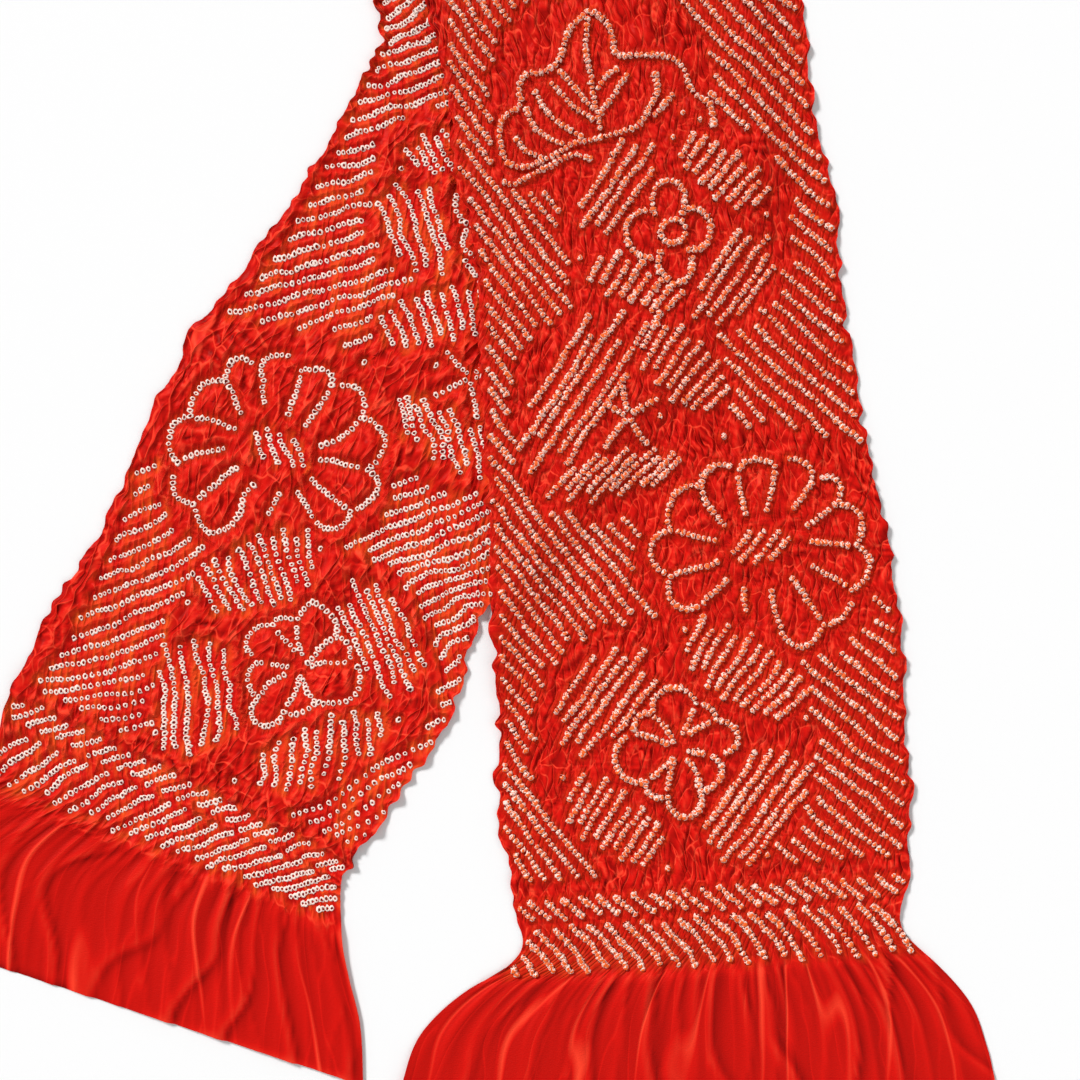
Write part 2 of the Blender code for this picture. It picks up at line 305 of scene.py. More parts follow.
# Knots and rings: (radius, height, share of the tip colour) from the foot to the middle, in mm, the middle's
# height and share, and how ragged they are. The share is the place on the colour ramp, where a knot's foot
# gets painted shade and a ring's middle gets painted shade in its hollow
KNOT_SIDES = 7
KNOT_PROFILE = (
    (1.62, -0.60, 0.0),
    (1.42, 0.60, 0.34),
    (0.95, 1.25, 0.58),
    (0.48, 1.45, 0.95),
)
KNOT_TOP = (1.25, 1.0)
KNOT_RAGGEDNESS = 0.14
RING_PROFILE = (
    (1.56, -0.50, 0.0),
    (1.32, 0.55, 0.34),
    (0.76, 0.74, 0.54),
    (0.52, -0.30, 0.98),
)
RING_TOP = (-0.80, 1.0)
RING_RAGGEDNESS = 0.17
MOST_KNOTS_IN_A_PIECE = 3500

# How they differ: the range of their size and height, their stretch along and across the row, their lean as a
# slope, and patches of the cloth, in metres, where all are smaller or larger
SIZE_RANGE = (0.82, 1.16)
HEIGHT_RANGE = (0.85, 1.2)
ROW_STRETCH = (0.88, 1.10)
MOST_LEAN = 0.16
PATCH_LENGTH = 0.03
PATCH_SIZES = (0.90, 0.22)
ROW_RISE = 0.35

# The silk between the knots, in mm. Its wide creases: (spacing, how many spacings they waver, seed, height)
PLEAT_LEAN = 22.0
OPEN_CREASES = (
    (13.0, 4.4, 70, 1.9),
    (7.2, 4.2, 75, 1.5),
)
OPEN_ZONE = (1.8, 6.0)
OPEN_LIFT = 0.25
FINE_WAVER = 0.42
CREASE_POWER = 1.35
LOWEST_CREASE = 0.35
PULL_HEIGHT = 0.35
PULL_AWAY = 3.2
PULL_WIDTH = 3.0
PULL_DRIFT = 0.9
PULL_NOISE = (7.0, 6.0)
ROW_RIDGE = 1.2
ROW_HOLLOW = -0.5
ROW_WIDTH = 2.1
RELIEF_LIE = 0.9
RELIEF_START = 0.015
LOWEST_POINT = 0.0004

# The tucks of a plain end: (share of the count, seed, height, height more beside the band), in mm
TUCKS = (
    (1.0, 33, 2.3, 0.0),
    (2.1, 43, 0.5, 1.5),
    (4.3, 53, 0.0, 1.6),
)
TUCK_WANDER = 1.3
TUCK_RISE = 1.7
TUCK_DROP = 0.88
LOWEST_TUCK = 0.25
GATHER_LIE = 1.2
GATHER_SWELL = 0.8
BESIDE_BAND = (0.608, 0.666)
BESIDE_LOSS = 0.85
PLAIN_START = (0.613, 0.622)

# The selvages' frill: (height in mm, length in mm, lane of the noise), how far it lies inwards, the seed, and
# where it begins and fades, in metres from the fold
FRILL_WAVES = (
    (3.8, 5.1, 9.0),
    (3.0, 11.0, 19.0),
)
FRILL_LIE = 3.1
FRILL_SEED = 61
FRILL_SHARE = 0.9
FRILL_START = 0.02
FRILL_END = (0.565, 0.60)

# The thin dye round the knots: (reach in mm, strength) on the lower half's close rows and elsewhere, and the
# size and spread of its patches
WIDE_HALO = (3.0, 1.0)
NEAR_HALO = (2.0, 0.5)
HALO_PATCH = (2.6, 9.0)
HALO_SPREAD = (0.25, 0.85)
HALO_SEED = 81

# The silk's fine ridges: (input, layer, UV map, spacing and length in metres, lean in degrees, how many
# spacings they wander, strength, sharpness)
RIDGE_LAYERS = (
    ("Pulls", 1, "row", 0.0030, 0.0120, 0.0, 1.0, 0.6, 1.6),
    ("Pleats", 2, "cloth", 0.0025, 0.0090, PLEAT_LEAN, 1.0, 0.5, 1.6),
    ("Creases", 3, "cloth", 0.0060, 0.0150, 14.0, 2.1, 0.8, 1.7),
    ("Creases", 4, "cloth", 0.0041, 0.0105, -12.0, 1.7, 0.5, 1.7),
    ("Tucks", 5, "cloth", 0.0170, 0.1000, 3.0, 1.9, 1.1, 2.4),
    ("Tucks", 6, "cloth", 0.0070, 0.0400, 0.0, 1.9, 0.2, 2.4),
)
RIDGE_NOISE = 0.8
RIDGE_FADING = (3.4, 1.0)
# Where a ridge's painted highlight line starts, as a share of its height
LINE_START = 0.84

# The facets between the sharp creases of the open cloth: (input, layer, UV map, width and length in metres,
# lean in degrees, how many widths they bend, strength, share of the width that a crease's painted highlight
# line takes)
FACET_LAYERS = (("Creases", 8, "cloth", 0.0085, 0.0150, 14.0, 0.8, 0.9, 0.05),)
FACET_NOISE = 1.1
FACET_FADING = (3.6, 1.1)
LAYER_STEPS = (0.37, 0.11)
THREADS_PER_METRE = (900.0, 2600.0, 1.0)

# The silk's material: how strongly each kind of ridge shows, the relief in metres, and the painted highlight
# and painted shade that the relief lays on its colour
PLEAT_SHARE = 0.85
PULL_SHARE = 0.16
TUCK_SHARE = 0.55
PLAIN_GRAIN = 0.11
GRAIN = 0.02
BUMP_STRENGTH = 0.9
BUMP_DEPTH = 0.0023
# Painted highlight: how much the fine ridges' top lines brighten the silk's colour
LINE_HIGHLIGHT = 0.95
# Painted highlight and shade: how much the relief's tops brighten and its hollows darken the silk's colour,
# and where plain silk sits on the ramp from painted shade to painted highlight
CREST_SHADING = 0.34
BASE_BRIGHTNESS = 0.37
STREAKS = (3.0, 0.22)
RAMP_SHARES = (0.05, 0.45, 0.95)
SILK_ROUGHNESS = 0.46
SILK_SHEEN = 0.14
SHEEN_TINT = (1.0, 0.30, 0.22, 1.0)
KNOT_SHEEN = 0.3
KNOT_NOISE = 850.0
TINT_SHIFT = 0.30
LOWER_BROADENING = 0.22

# The stage: (name, height above the horizon and turn from +x in degrees, width in degrees, strength)
SUNS = (
    ("key light", 36.0, 132.0, 14.0, 3.0),
    ("fill light", 50.0, -40.0, 60.0, 0.5),
)
SKY_STRENGTH = 0.36
FLOOR_REACH = 4.0
VIEW_MIDDLE = (270.0, 270.0)
LENS_MM = 50.0

# Mesh of the silk
COLUMNS = 122
BEND_ROWS = 6
HIDDEN_ROWS = 46
BODY_ROWS = 292
END_ROWS = 58
BEND_ZONE = 0.009
HIDDEN_ZONE = 0.150
MARKS = ("relief", "open", "plain", "beside", "halo", "along", "off")


def smooth_step(value, start, end):
    """0 before start, 1 past end, and an S curve between."""
    share = np.clip((value - start) / (end - start), 0.0, 1.0)
    return share * share * (3.0 - 2.0 * share)


def cubic(values, slopes, first, share, span=1.0):
    """A cubic curve between each value and the next: through both, with their slopes at its ends."""
    squared = share * share
    cubed = squared * share
    return (
        (2.0 * cubed - 3.0 * squared + 1.0) * values[first]
        + (cubed - 2.0 * squared + share) * span * slopes[first]
        + (3.0 * squared - 2.0 * cubed) * values[first + 1]
        + (cubed - squared) * span * slopes[first + 1]
    )


def smooth_table(distance, table):
    """The two edge points at each distance, by a cubic curve through the table's rows."""
    rows = np.array(table) * MILLIMETRE
    at = rows[:, 0]
    slopes = np.gradient(rows[:, 1:], at, axis=0)
    first = np.clip(np.searchsorted(at, distance, side="right") - 1, 0, len(at) - 2)
    span = (at[first + 1] - at[first])[:, None]
    share = (distance[:, None] - at[first][:, None]) / span
    return cubic(rows[:, 1:], slopes, first, share, span)


def plan_of(across, distance, table):
    """The (x, y) of cloth points on one half: a straight line between its two selvages."""
    edges = smooth_table(distance, table)
    share = ((across + 1.0) / 2.0)[:, None]
    return edges[:, 0:2] * (1.0 - share) + edges[:, 2:4] * share


def cloth_place(layout):
    """Layout points back to (across, distance) on the upper half, by Newton's steps on plan_of."""
    target = np.column_stack([LAYOUT_CORNER[0] + layout[:, 0], LAYOUT_CORNER[1] - layout[:, 1]])
    target = target * MILLIMETRE
    distance = np.clip(-target[:, 1], 0.0, HALF_LENGTH)
    across = np.zeros(len(target))
    step = 1e-4
    for _ in range(9):
        here = plan_of(across, distance, UPPER_HALF)
        by_across = (plan_of(across + step, distance, UPPER_HALF) - here) / step
        by_distance = (plan_of(across, distance + step, UPPER_HALF) - here) / step
        miss = target - here
        scale = by_across[:, 0] * by_distance[:, 1] - by_across[:, 1] * by_distance[:, 0]
        across = across + (miss[:, 0] * by_distance[:, 1] - miss[:, 1] * by_distance[:, 0]) / scale
        distance = distance + (by_across[:, 0] * miss[:, 1] - by_across[:, 1] * miss[:, 0]) / scale
        across = np.clip(across, -1.6, 1.6)
        distance = np.clip(distance, 0.0, HALF_LENGTH)
    return across, distance


def past_edge(points, table, column):
    """How far points lie beyond one selvage, to the right of it, negative on its left."""
    along = np.linspace(0.0, HALF_LENGTH, 200)
    edge = smooth_table(along, table)[:, column : column + 2]
    order = np.argsort(points[:, 1])
    result = np.empty(len(points))
    for chunk in np.array_split(order, max(1, len(points) // 2000)):
        offset = points[chunk][:, None, :] - edge[None, :-1, :]
        step = edge[1:] - edge[:-1]
        share = np.clip((offset * step).sum(2) / (step * step).sum(1), 0.0, 1.0)
        gap = offset - share[:, :, None] * step
        length = np.sqrt((gap * gap).sum(2))
        nearest = length.argmin(1)
        row = np.arange(len(chunk))
        turn = step[nearest, 0] * offset[row, nearest, 1] - step[nearest, 1] * offset[row, nearest, 0]
        result[chunk] = np.where(turn > 0.0, length[row, nearest], -length[row, nearest])
    return result


def lattice_noise(x, y, seed):
    """Smooth noise from 0 to 1: random values on a square lattice with an S-curve blend between them."""
    table = np.random.default_rng(seed).random((64, 64))
    column = np.floor(x).astype(int)
    row = np.floor(y).astype(int)
    u = x - column
    v = y - row
    u = u * u * (3.0 - 2.0 * u)
    v = v * v * (3.0 - 2.0 * v)
    low = table[row % 64, column % 64] * (1.0 - u) + table[row % 64, (column + 1) % 64] * u
    high = table[(row + 1) % 64, column % 64] * (1.0 - u) + table[(row + 1) % 64, (column + 1) % 64] * u
    return low * (1.0 - v) + high * v


def polar(centre, radius, turn):
    """Points at the radii and turns, in degrees down from +x, round a centre of the layout."""
    angle = np.radians(turn)
    return np.column_stack([centre[0] + radius * np.cos(angle), centre[1] + radius * np.sin(angle)])


def stripe_rows():
    """The ground's slanting rows: straight lines with a slight bend and waver, cut at the clear zones."""
    x = np.arange(STRIPE_LEFT, STRIPE_RIGHT, 0.5)
    run = x - STRIPE_ORIGIN
    rows = []
    for number in range(*STRIPE_NUMBERS):
        y = number * STRIPE_PITCH + STRIPE_SLOPE * run - STRIPE_BEND * run * run
        for height, length, step in STRIPE_WAVERS:
            y = y + height * np.sin(x / length + step * number)
        line = np.column_stack([x, y])
        across, distance = cloth_place(line)
        shown = (np.abs(across) < STRIPE_SHARE) & (distance > 0.003) & (distance < STRIPE_END)
        inside = plan_of(across, distance, UPPER_HALF)
        shown &= np.abs(inside[:, 1] - (LAYOUT_CORNER[1] - y) * MILLIMETRE) < 1e-4
        for zone_x, zone_y, wide, long in CLEAR_ZONES:
            reach = 1.0 + 0.035 * np.sin(2.3 * number + zone_x)
            spread = np.abs((x - zone_x) / wide) ** ZONE_POWER + np.abs((y - zone_y) / long) ** ZONE_POWER
            shown &= spread > reach**ZONE_POWER
        change = np.diff(np.concatenate([[0], shown.astype(int), [0]]))
        starts = np.flatnonzero(change == 1)
        ends = np.flatnonzero(change == -1)
        rows += [line[start:end] for start, end in zip(starts, ends) if end - start > FEWEST_STRIPE_POINTS]
    return rows


def group_rows():
    """The lens-shaped groups: parallel or fanning rows set out along an axis, the middle ones longest, each
    a little longer or shorter, pushed along itself and bowed by sines of its number."""
    rows = []
    for x, y, count, pitch, axis, first, last, longest in ROW_GROUPS:
        for number in range(count):
            share = (number - (count - 1) / 2.0) / (count / 2.0)
            middle = polar((x, y), np.array([share * count / 2.0 * pitch]), axis)[0]
            turn = -(first + (last - first) * number / max(count - 1, 1))
            uneven = 0.06 * np.sin(5.1 * number + x)
            half = longest / 2.0 * (np.sqrt(1.0 - 0.80 * share * share) + uneven)
            slide = 0.10 * longest * np.sin(3.3 * number + y)
            along = np.linspace(-half + slide, half + slide, 40)
            bow = 0.012 * longest * np.cos(np.pi * np.linspace(-0.5, 0.5, 40)) * np.sin(2.0 * number + x)
            rows.append(polar(middle, along, turn) + bow[:, None])
    return rows


def ringed_petals(centre, petals):
    """A flower's open petals, one for each row of the table, with the lines that part them.
    Each outline swells from one parting line to the next by a sine of its share of the way between."""
    rows = []
    for number, (inner_turn, inner, turn, outer, tip, start, end) in enumerate(petals):
        line = np.linspace(0.0, 1.0, 24)
        if inner < outer:
            rows.append(polar(centre, outer + (inner - outer) * line, turn + (inner_turn - turn) * line))
        following = petals[(number + 1) % len(petals)]
        if tip > 0.0:
            share = np.linspace(start, end, 60)
            sweep = (following[2] - turn) % 360.0
            base = outer + (following[3] - outer) * share
            radius = base + (tip - base) * np.sin(np.pi * share) ** 0.62
            rows.append(polar(centre, radius, turn + sweep * share))
    return rows


def star(centre, arms):
    """Straight arms from a small gap in the middle."""
    return [polar(centre, np.linspace(2.0, length, 20), turn) for turn, length in arms]


def smooth_line(points):
    """A curve through given points: cubic between them, with slopes from their neighbours."""
    points = np.array(points)
    slopes = np.gradient(points, axis=0)
    fine = np.linspace(0.0, len(points) - 1.0, 16 * len(points))
    first = np.clip(fine.astype(int), 0, len(points) - 2)
    return cubic(points, slopes, first, (fine - first)[:, None])


def leaf(base):
    """The lobed leaf: its outline, veins and stem, drawn from its base."""
    return [smooth_line(line) + np.array(base) for line in LEAF_LINES]


def spaced(line, pitch):
    """Points one pitch apart along a line, with the direction and the distance run at each."""
    steps = np.linalg.norm(np.diff(line, axis=0), axis=1)
    run = np.concatenate([[0.0], np.cumsum(steps)])
    count = max(1, int(run[-1] / pitch) + 1)
    at = np.linspace(0.0, (count - 1) * pitch, count) + (run[-1] - (count - 1) * pitch) / 2.0
    points = np.column_stack([np.interp(at, run, line[:, k]) for k in range(2)])
    ahead = np.column_stack([np.interp(at + 0.4, run, line[:, k]) for k in range(2)])
    behind = np.column_stack([np.interp(at - 0.4, run, line[:, k]) for k in range(2)])
    way = ahead - behind
    return points, way / np.maximum(np.linalg.norm(way, axis=1), 1e-9)[:, None], at


def all_rows():
    """Every tied row of the upper half in layout coordinates, as (line, whether it is one of a group)."""
    rows = leaf(LEAF_BASE) + leaf(HIDDEN_LEAF_BASE)
    for centre, petals in PETAL_FLOWERS:
        rows += ringed_petals(centre, petals)
    rows.append(polar(SMALL_RING[0:2], np.full(24, SMALL_RING[2]), np.linspace(0.0, 340.0, 24)))
    rows += star(STAR_CENTRE, STAR_ARMS)
    rows.append(smooth_line(LOOSE_STROKE))
    rows += [np.array([point, (point[0] + 0.5, point[1])]) for point in SINGLE_KNOTS]
    return [(line, True) for line in stripe_rows() + group_rows()] + [(line, False) for line in rows]


def band_rows():
    """The rows of the double band, as (across, distance) in mm on the cloth, drawn in where it widens."""
    rows = []
    share = np.linspace(0.0, 1.0, 24)
    for start, end, run, pitch in BANDS:
        for left in np.arange(-BAND_EDGE - run, BAND_EDGE, pitch):
            distance = start + 0.8 * np.sin(0.9 * left) + (end - start) * share
            edges = smooth_table(distance * MILLIMETRE, UPPER_HALF)
            width = np.linalg.norm(edges[:, 2:4] - edges[:, 0:2], axis=1)
            across = (left + run * share) * width[0] / width
            line = np.column_stack([across, distance])[np.abs(across) < BAND_KNOT_EDGE]
            if len(line) > FEWEST_BAND_POINTS:
                rows.append(line)
    return rows


def apart(knots, space):
    """The knots without those that crowd a knot of an earlier row."""
    crowded = np.zeros(len(knots), bool)
    for chunk in np.array_split(np.arange(len(knots)), 24):
        low = knots[chunk, 1].min() - space
        high = knots[chunk, 1].max() + space
        near = np.flatnonzero((knots[:, 1] > low) & (knots[:, 1] < high))
        dx = knots[chunk, 0][:, None] - knots[near, 0][None, :]
        dy = knots[chunk, 1][:, None] - knots[near, 1][None, :]
        earlier = knots[chunk, 5][:, None] > knots[near, 5][None, :]
        crowded[chunk] = (earlier & (dx * dx + dy * dy < space * space)).any(1)
    return knots[~crowded]


def drifted(knots):
    """The lower half's knots: the upper half's, moved as the table says."""
    drift = np.array(LOWER_DRIFT)
    shift, middle, selvage = (np.interp(knots[:, 1], drift[:, 0], drift[:, column]) for column in (1, 2, 3))
    to_selvage = -knots[:, 0] * MILLIMETRE / HALF_TIED_WIDTH
    knots[:, 0] -= shift
    knots[:, 1] += middle + selvage * to_selvage
    return knots[np.abs(knots[:, 0]) < LOWER_KNOT_EDGE]


def tied_knots(side):
    """All knots of one half as columns: across in mm, distance in mm, row direction (2), run along the row,
    row number, and 1 where the row is one of a group or 0 in a motif. The rows waver with the cloth."""
    random = np.random.default_rng(SEED)
    found = []
    for number, (row, grouped) in enumerate(all_rows()):
        points, way, at = spaced(row, KNOT_PITCH)
        across, distance = cloth_place(points)
        across_next, distance_next = cloth_place(points + 0.5 * way)
        place = np.column_stack([across * HALF_TIED_WIDTH, distance]) / MILLIMETRE
        ahead = np.column_stack([across_next * HALF_TIED_WIDTH, distance_next]) / MILLIMETRE - place
        length = np.linalg.norm(ahead, axis=1)
        keep = (np.abs(across) < KNOT_SHARE) & (distance > 0.002) & (distance < STRIPE_END) & (length > 0.05)
        ahead = ahead / np.maximum(length, 1e-6)[:, None]
        labels = np.full((len(at), 2), (number, grouped))
        found.append(np.column_stack([place, ahead, at, labels])[keep])
    for number, row in enumerate(band_rows()):
        points, way, at = spaced(row, BAND_KNOT_PITCH)
        labels = np.full((len(at), 2), (FIRST_BAND_ROW + number, 1))
        found.append(np.column_stack([points, way, at, labels]))
    knots = apart(np.concatenate(found), KNOT_SPACE)
    waver = UPPER_WAVER if side > 0 else LOWER_WAVER
    for column, sizes, seed in ((0, (WAVER_LONG, WAVER_SHORT), 41), (1, (WAVER_SHORT, WAVER_LONG), 51)):
        wave = lattice_noise(knots[:, 0] / sizes[0], knots[:, 1] / sizes[1], seed + side)
        knots[:, column] += waver * (wave - 0.5)
    knots[:, 0:2] += random.normal(0.0, KNOT_JITTER, (len(knots), 2))
    return drifted(knots) if side < 0 else knots


def near_knots(across, distance, knots, reach=16.0):
    """For each cloth point in mm: how far the nearest knot is, where the point lies along and off its row,
    and whether the row is one of a group. The cloth is searched in strips, each against the knots near it."""
    away = np.full(len(across), reach)
    along = np.zeros(len(across))
    off = np.zeros(len(across))
    grouped = np.zeros(len(across), bool)
    strip = np.floor(distance / 10.0).astype(int)
    order = np.argsort(strip, kind="stable")
    cuts = np.flatnonzero(np.diff(strip[order])) + 1
    for chunk in np.split(order, cuts):
        low = distance[chunk].min() - reach
        high = distance[chunk].max() + reach
        local = knots[(knots[:, 1] > low) & (knots[:, 1] < high)]
        if not len(local):
            continue
        dx = across[chunk][:, None] - local[None, :, 0]
        dy = distance[chunk][:, None] - local[None, :, 1]
        gap = dx * dx + dy * dy
        nearest = gap.argmin(1)
        row = np.arange(len(chunk))
        way = local[nearest]
        away[chunk] = np.minimum(np.sqrt(gap[row, nearest]), reach)
        offset_x = dx[row, nearest]
        offset_y = dy[row, nearest]
        along[chunk] = way[:, 4] + offset_x * way[:, 2] + offset_y * way[:, 3]
        grouped[chunk] = way[:, 6] > 0.0
        off[chunk] = offset_y * way[:, 2] - offset_x * way[:, 3]
    return away, along, off, grouped


def ripples(across, distance, side):
    """Soft uneven waves that run along the cloth, between 0 and 1."""
    drift = 0.9 * np.sin(distance / 0.061 + 1.3 * side) + 0.6 * np.sin(distance / 0.037 + 2.0 * across)
    first = np.sin(2.0 * np.pi * across * HALF_TIED_WIDTH / RIPPLE_WIDTH + drift)
    second = np.sin(2.0 * np.pi * distance / RIPPLE_LENGTH + 4.0 * across + side)
    return 0.5 + 0.32 * first + 0.18 * second


def main_folds(across, distance, side):
    """The height of the main folds: a rounded ridge along each row of the table, fading at its ends."""
    height = np.zeros(len(across))
    place = np.stack([distance, across * HALF_TIED_WIDTH], axis=1)
    for half, start, across_start, end, across_end, width, tall in MAIN_FOLDS:
        begin = np.array([start * MILLIMETRE, across_start * HALF_TIED_WIDTH])
        line = np.array([end * MILLIMETRE, across_end * HALF_TIED_WIDTH]) - begin
        share = np.clip(((place - begin) @ line) / (line @ line), 0.0, 1.0)
        away = np.linalg.norm(place - begin - share[:, None] * line, axis=1) / (width * MILLIMETRE)
        ridge = np.exp(-3.0 * away * away) * (0.4 + 0.6 * np.sin(np.pi * share))
        height += np.where(half == side, ridge * tall * MILLIMETRE, 0.0)
    return height


def tucks(across, distance, count, seed):
    """Folds side by side from one selvage to the other, from 0 to 1: each rises slowly and falls off at once,
    wanders with noise and is higher or lower than the next."""
    wander = lattice_noise(0.45 * count * across, distance / 0.05, seed) - 0.5
    phase = 0.5 * count * (across + 1.0) + TUCK_WANDER * wander
    number = np.floor(phase)
    share = phase - number
    height = lattice_noise(number * 0.77 + 3.0, distance / 0.09, seed + 1)
    height = LOWEST_TUCK + (1.0 - LOWEST_TUCK) * height
    return share**TUCK_RISE * (1.0 - smooth_step(share, TUCK_DROP, 1.0)) * height


def gathers(across, distance, side):
    """The folds of a plain end in mm: broad tucks that fan out, and narrow ones that die away from the band,
    on a slow swell."""
    near = 1.0 - BESIDE_LOSS * smooth_step(distance, *BESIDE_BAND)
    height = GATHER_SWELL * (1.0 + np.sin(2.9 * across + 1.7 * side + 11.0 * distance))
    for count, seed, tall, beside in TUCKS:
        height = height + (tall + beside * near) * tucks(across, distance, count * GATHER_COUNT, seed + side)
    return height


def waving_creases(run, cross, period, warp, seed):
    """Creases that run along the cloth and waver, from 0 to 1: a triangle wave of the place across them,
    whose phase drifts with noise of two sizes, and whose height comes and goes."""
    slow = lattice_noise(cross / (2.1 * period), run / (2.4 * period), seed) - 0.5
    quick = lattice_noise(cross / (0.9 * period), run / (1.1 * period), seed + 1) - 0.5
    phase = cross / period + warp * (slow + FINE_WAVER * quick)
    wave = np.abs(2.0 * (phase - np.floor(phase)) - 1.0)
    strength = lattice_noise(cross / (1.6 * period), run / (3.2 * period), seed + 2)
    return wave**CREASE_POWER * (LOWEST_CREASE + (1.0 - LOWEST_CREASE) * strength)


def crinkles(cross, run, side, away, along, off):
    """The puckers between the knots, in mm, and how open the cloth is there: waving creases along the cloth,
    deepest where it is open, and pleats square to a motif's rows, one to every two knots."""
    open_share = smooth_step(away, *OPEN_ZONE)
    height = OPEN_LIFT * open_share
    for period, warp, seed, tall in OPEN_CREASES:
        height = height + open_share * tall * waving_creases(run, cross, period, warp, seed + side)
    drift = PULL_DRIFT * lattice_noise(along / PULL_NOISE[0], off / PULL_NOISE[1], 12)
    pleats = np.abs(2.0 * ((along / (2.0 * KNOT_PITCH) + drift) % 1.0) - 1.0)
    beside = np.exp(-np.square((away - PULL_AWAY) / PULL_WIDTH))
    return height + PULL_HEIGHT * beside * pleats, open_share


def frill(across, reach, side):
    """How far a point is pushed towards its right, in mm, by the selvages' waves: noises of the distance,
    0 inside the cloth, at the fold and at the band."""
    selvage = np.sign(across)
    wave = -FRILL_LIE
    for height, length, lane in FRILL_WAVES:
        at = reach / (length * MILLIMETRE)
        wave = wave + height * lattice_noise(at, 4.0 * selvage + lane, FRILL_SEED + side)
    wave = wave * (1.0 - smooth_step(reach, *FRILL_END)) * smooth_step(reach, 0.0, FRILL_START)
    return selvage * smooth_step(np.abs(across), FRILL_SHARE, 1.0) * wave


def halo_of(away, cross, run, patchy):
    """The thin dye round each knot, from 0 to 1: wide and in patches where asked, or else a close rim."""
    patches = smooth_step(lattice_noise(cross / HALO_PATCH[0], run / HALO_PATCH[1], HALO_SEED), *HALO_SPREAD)
    wide = WIDE_HALO[1] * np.exp(-np.square(away / WIDE_HALO[0])) * patches
    near = NEAR_HALO[1] * np.exp(-np.square(away / NEAR_HALO[0]))
    return np.where(patchy, wide, near)


def cloth_surface(across, distance, knots_of):
    """Cloth coordinates to the laid shape: the part's own folds with the puckers of the knots on them.
    across runs from -1 to 1 and distance in metres is above 0 on the upper half, below 0 on the lower.
    Gives the points and, by name, numbers for each: the small relief in mm, how open, plain, near a row and
    near a knot the cloth is, and its place along and off the nearest row in mm."""
    points = np.empty((len(across), 3))
    marks = {name: np.zeros(len(across)) for name in MARKS}
    fold_line = np.array([UPPER_HALF[0][3] - UPPER_HALF[0][1], UPPER_HALF[0][4] - UPPER_HALF[0][2]])
    fold_normal = np.array([-fold_line[1], fold_line[0]]) / np.linalg.norm(fold_line)
    lean = np.radians(PLEAT_LEAN)
    for side, table in ((1, UPPER_HALF), (-1, LOWER_HALF)):
        here = (distance >= 0.0) if side > 0 else (distance < 0.0)
        if not here.any():
            continue
        u = across[here]
        signed = distance[here]
        reach = np.maximum(np.abs(signed) - QUARTER_BEND, 0.0)
        flat_across = side * u * HALF_TIED_WIDTH / MILLIMETRE
        flat_distance = reach / MILLIMETRE
        away, along, off, grouped = near_knots(flat_across, flat_distance, knots_of[side])
        cross = flat_across * np.cos(lean) + flat_distance * np.sin(lean)
        run = flat_distance * np.cos(lean) - flat_across * np.sin(lean)
        along = np.where(grouped, cross, along)
        folds, open_share = crinkles(cross, run, side, away, along, off)
        tied = smooth_step(reach, 0.0, 0.03) * (1.0 - smooth_step(reach, GATHER_START, GATHER_FULL))
        plain = smooth_step(reach, *PLAIN_START)

        edges = smooth_table(reach, table)
        outward = edges[:, 2:4] - edges[:, 0:2]
        outward /= np.linalg.norm(outward, axis=1)[:, None]
        plan = plan_of(u, reach, table) + outward * (frill(u, reach, side) * MILLIMETRE)[:, None]

        past = past_edge(plan, LOWER_HALF, 2)
        over_lower = 1.0 - smooth_step(past, DRAPE_START, DRAPE_END)
        freedom = np.ones(len(u))
        if side < 0:
            covered = smooth_step(past_edge(plan, UPPER_HALF, 0), -0.006, 0.004)
            freedom = 1.0 - (1.0 - COVERED_SHARE) * covered
        row = (ROW_RIDGE if side > 0 else ROW_HOLLOW) * np.exp(-np.square(away / ROW_WIDTH))
        small = (folds + row - RELIEF_LIE) * (1.0 - plain) * smooth_step(reach, 0.0, RELIEF_START)
        small = (small + plain * (gathers(u, reach, side) - GATHER_LIE)) * freedom
        body = (RIPPLE_HEIGHT * ripples(u, reach, side) + main_folds(u, reach, side)) * freedom * tied
        lift = LAYER_STEP * over_lower if side > 0 else 0.0
        height = np.maximum(FLOOR_TO_MIDDLE + lift + body + small * MILLIMETRE, LOWEST_POINT)

        angle = np.clip(signed / BEND_RADIUS, -np.pi / 2.0, np.pi / 2.0)
        bending = np.abs(signed) < QUARTER_BEND
        bent_height = FLOOR_TO_MIDDLE + BEND_RADIUS * (1.0 + np.sin(angle))
        outside = np.where(bending, BEND_RADIUS * np.cos(angle), 0.0)
        plan = plan + outside[:, None] * fold_normal + np.array(FOLD_TO_CENTRE)
        points[here] = np.column_stack([plan, np.where(bending, bent_height, height)])
        beside = np.exp(-np.square(np.maximum(away - 2.6, 0.0) / 2.6))
        halo = halo_of(away, cross, run, grouped & (side < 0))
        values = (small, open_share * (1.0 - plain), plain, beside * (1.0 - plain), halo, along, off)
        for name, value in zip(MARKS, values):
            marks[name][here] = value
    return points, marks


def crest_of(relief):
    """How far each point of the grid stands above the mean of those round it: above 0 on a ridge top. The
    silk's colour paints highlight where it is high and shade where it is low.
    """
    mean = relief
    for _ in range(3):
        mean = (np.roll(mean, 1, 0) + mean + np.roll(mean, -1, 0)) / 3.0
        padded = np.pad(mean, ((0, 0), (1, 1)), mode="edge")
        mean = (padded[:, :-2] + padded[:, 1:-1] + padded[:, 2:]) / 3.0
    return relief - mean


def row_distances():
    """The distance of each row of the silk's grid from the fold, closest where the cloth is puckered."""
    bend = np.linspace(0.0, BEND_ZONE, BEND_ROWS + 1)[1:]
    hidden = np.linspace(BEND_ZONE, HIDDEN_ZONE, HIDDEN_ROWS + 1)[1:]
    body = np.linspace(HIDDEN_ZONE, GATHER_START, BODY_ROWS + 1)[1:]
    end = np.linspace(GATHER_START, HALF_LENGTH, END_ROWS + 1)[1:]
    half = np.concatenate([bend, hidden, body, end])
    return np.concatenate([-half[::-1], [0.0], half])


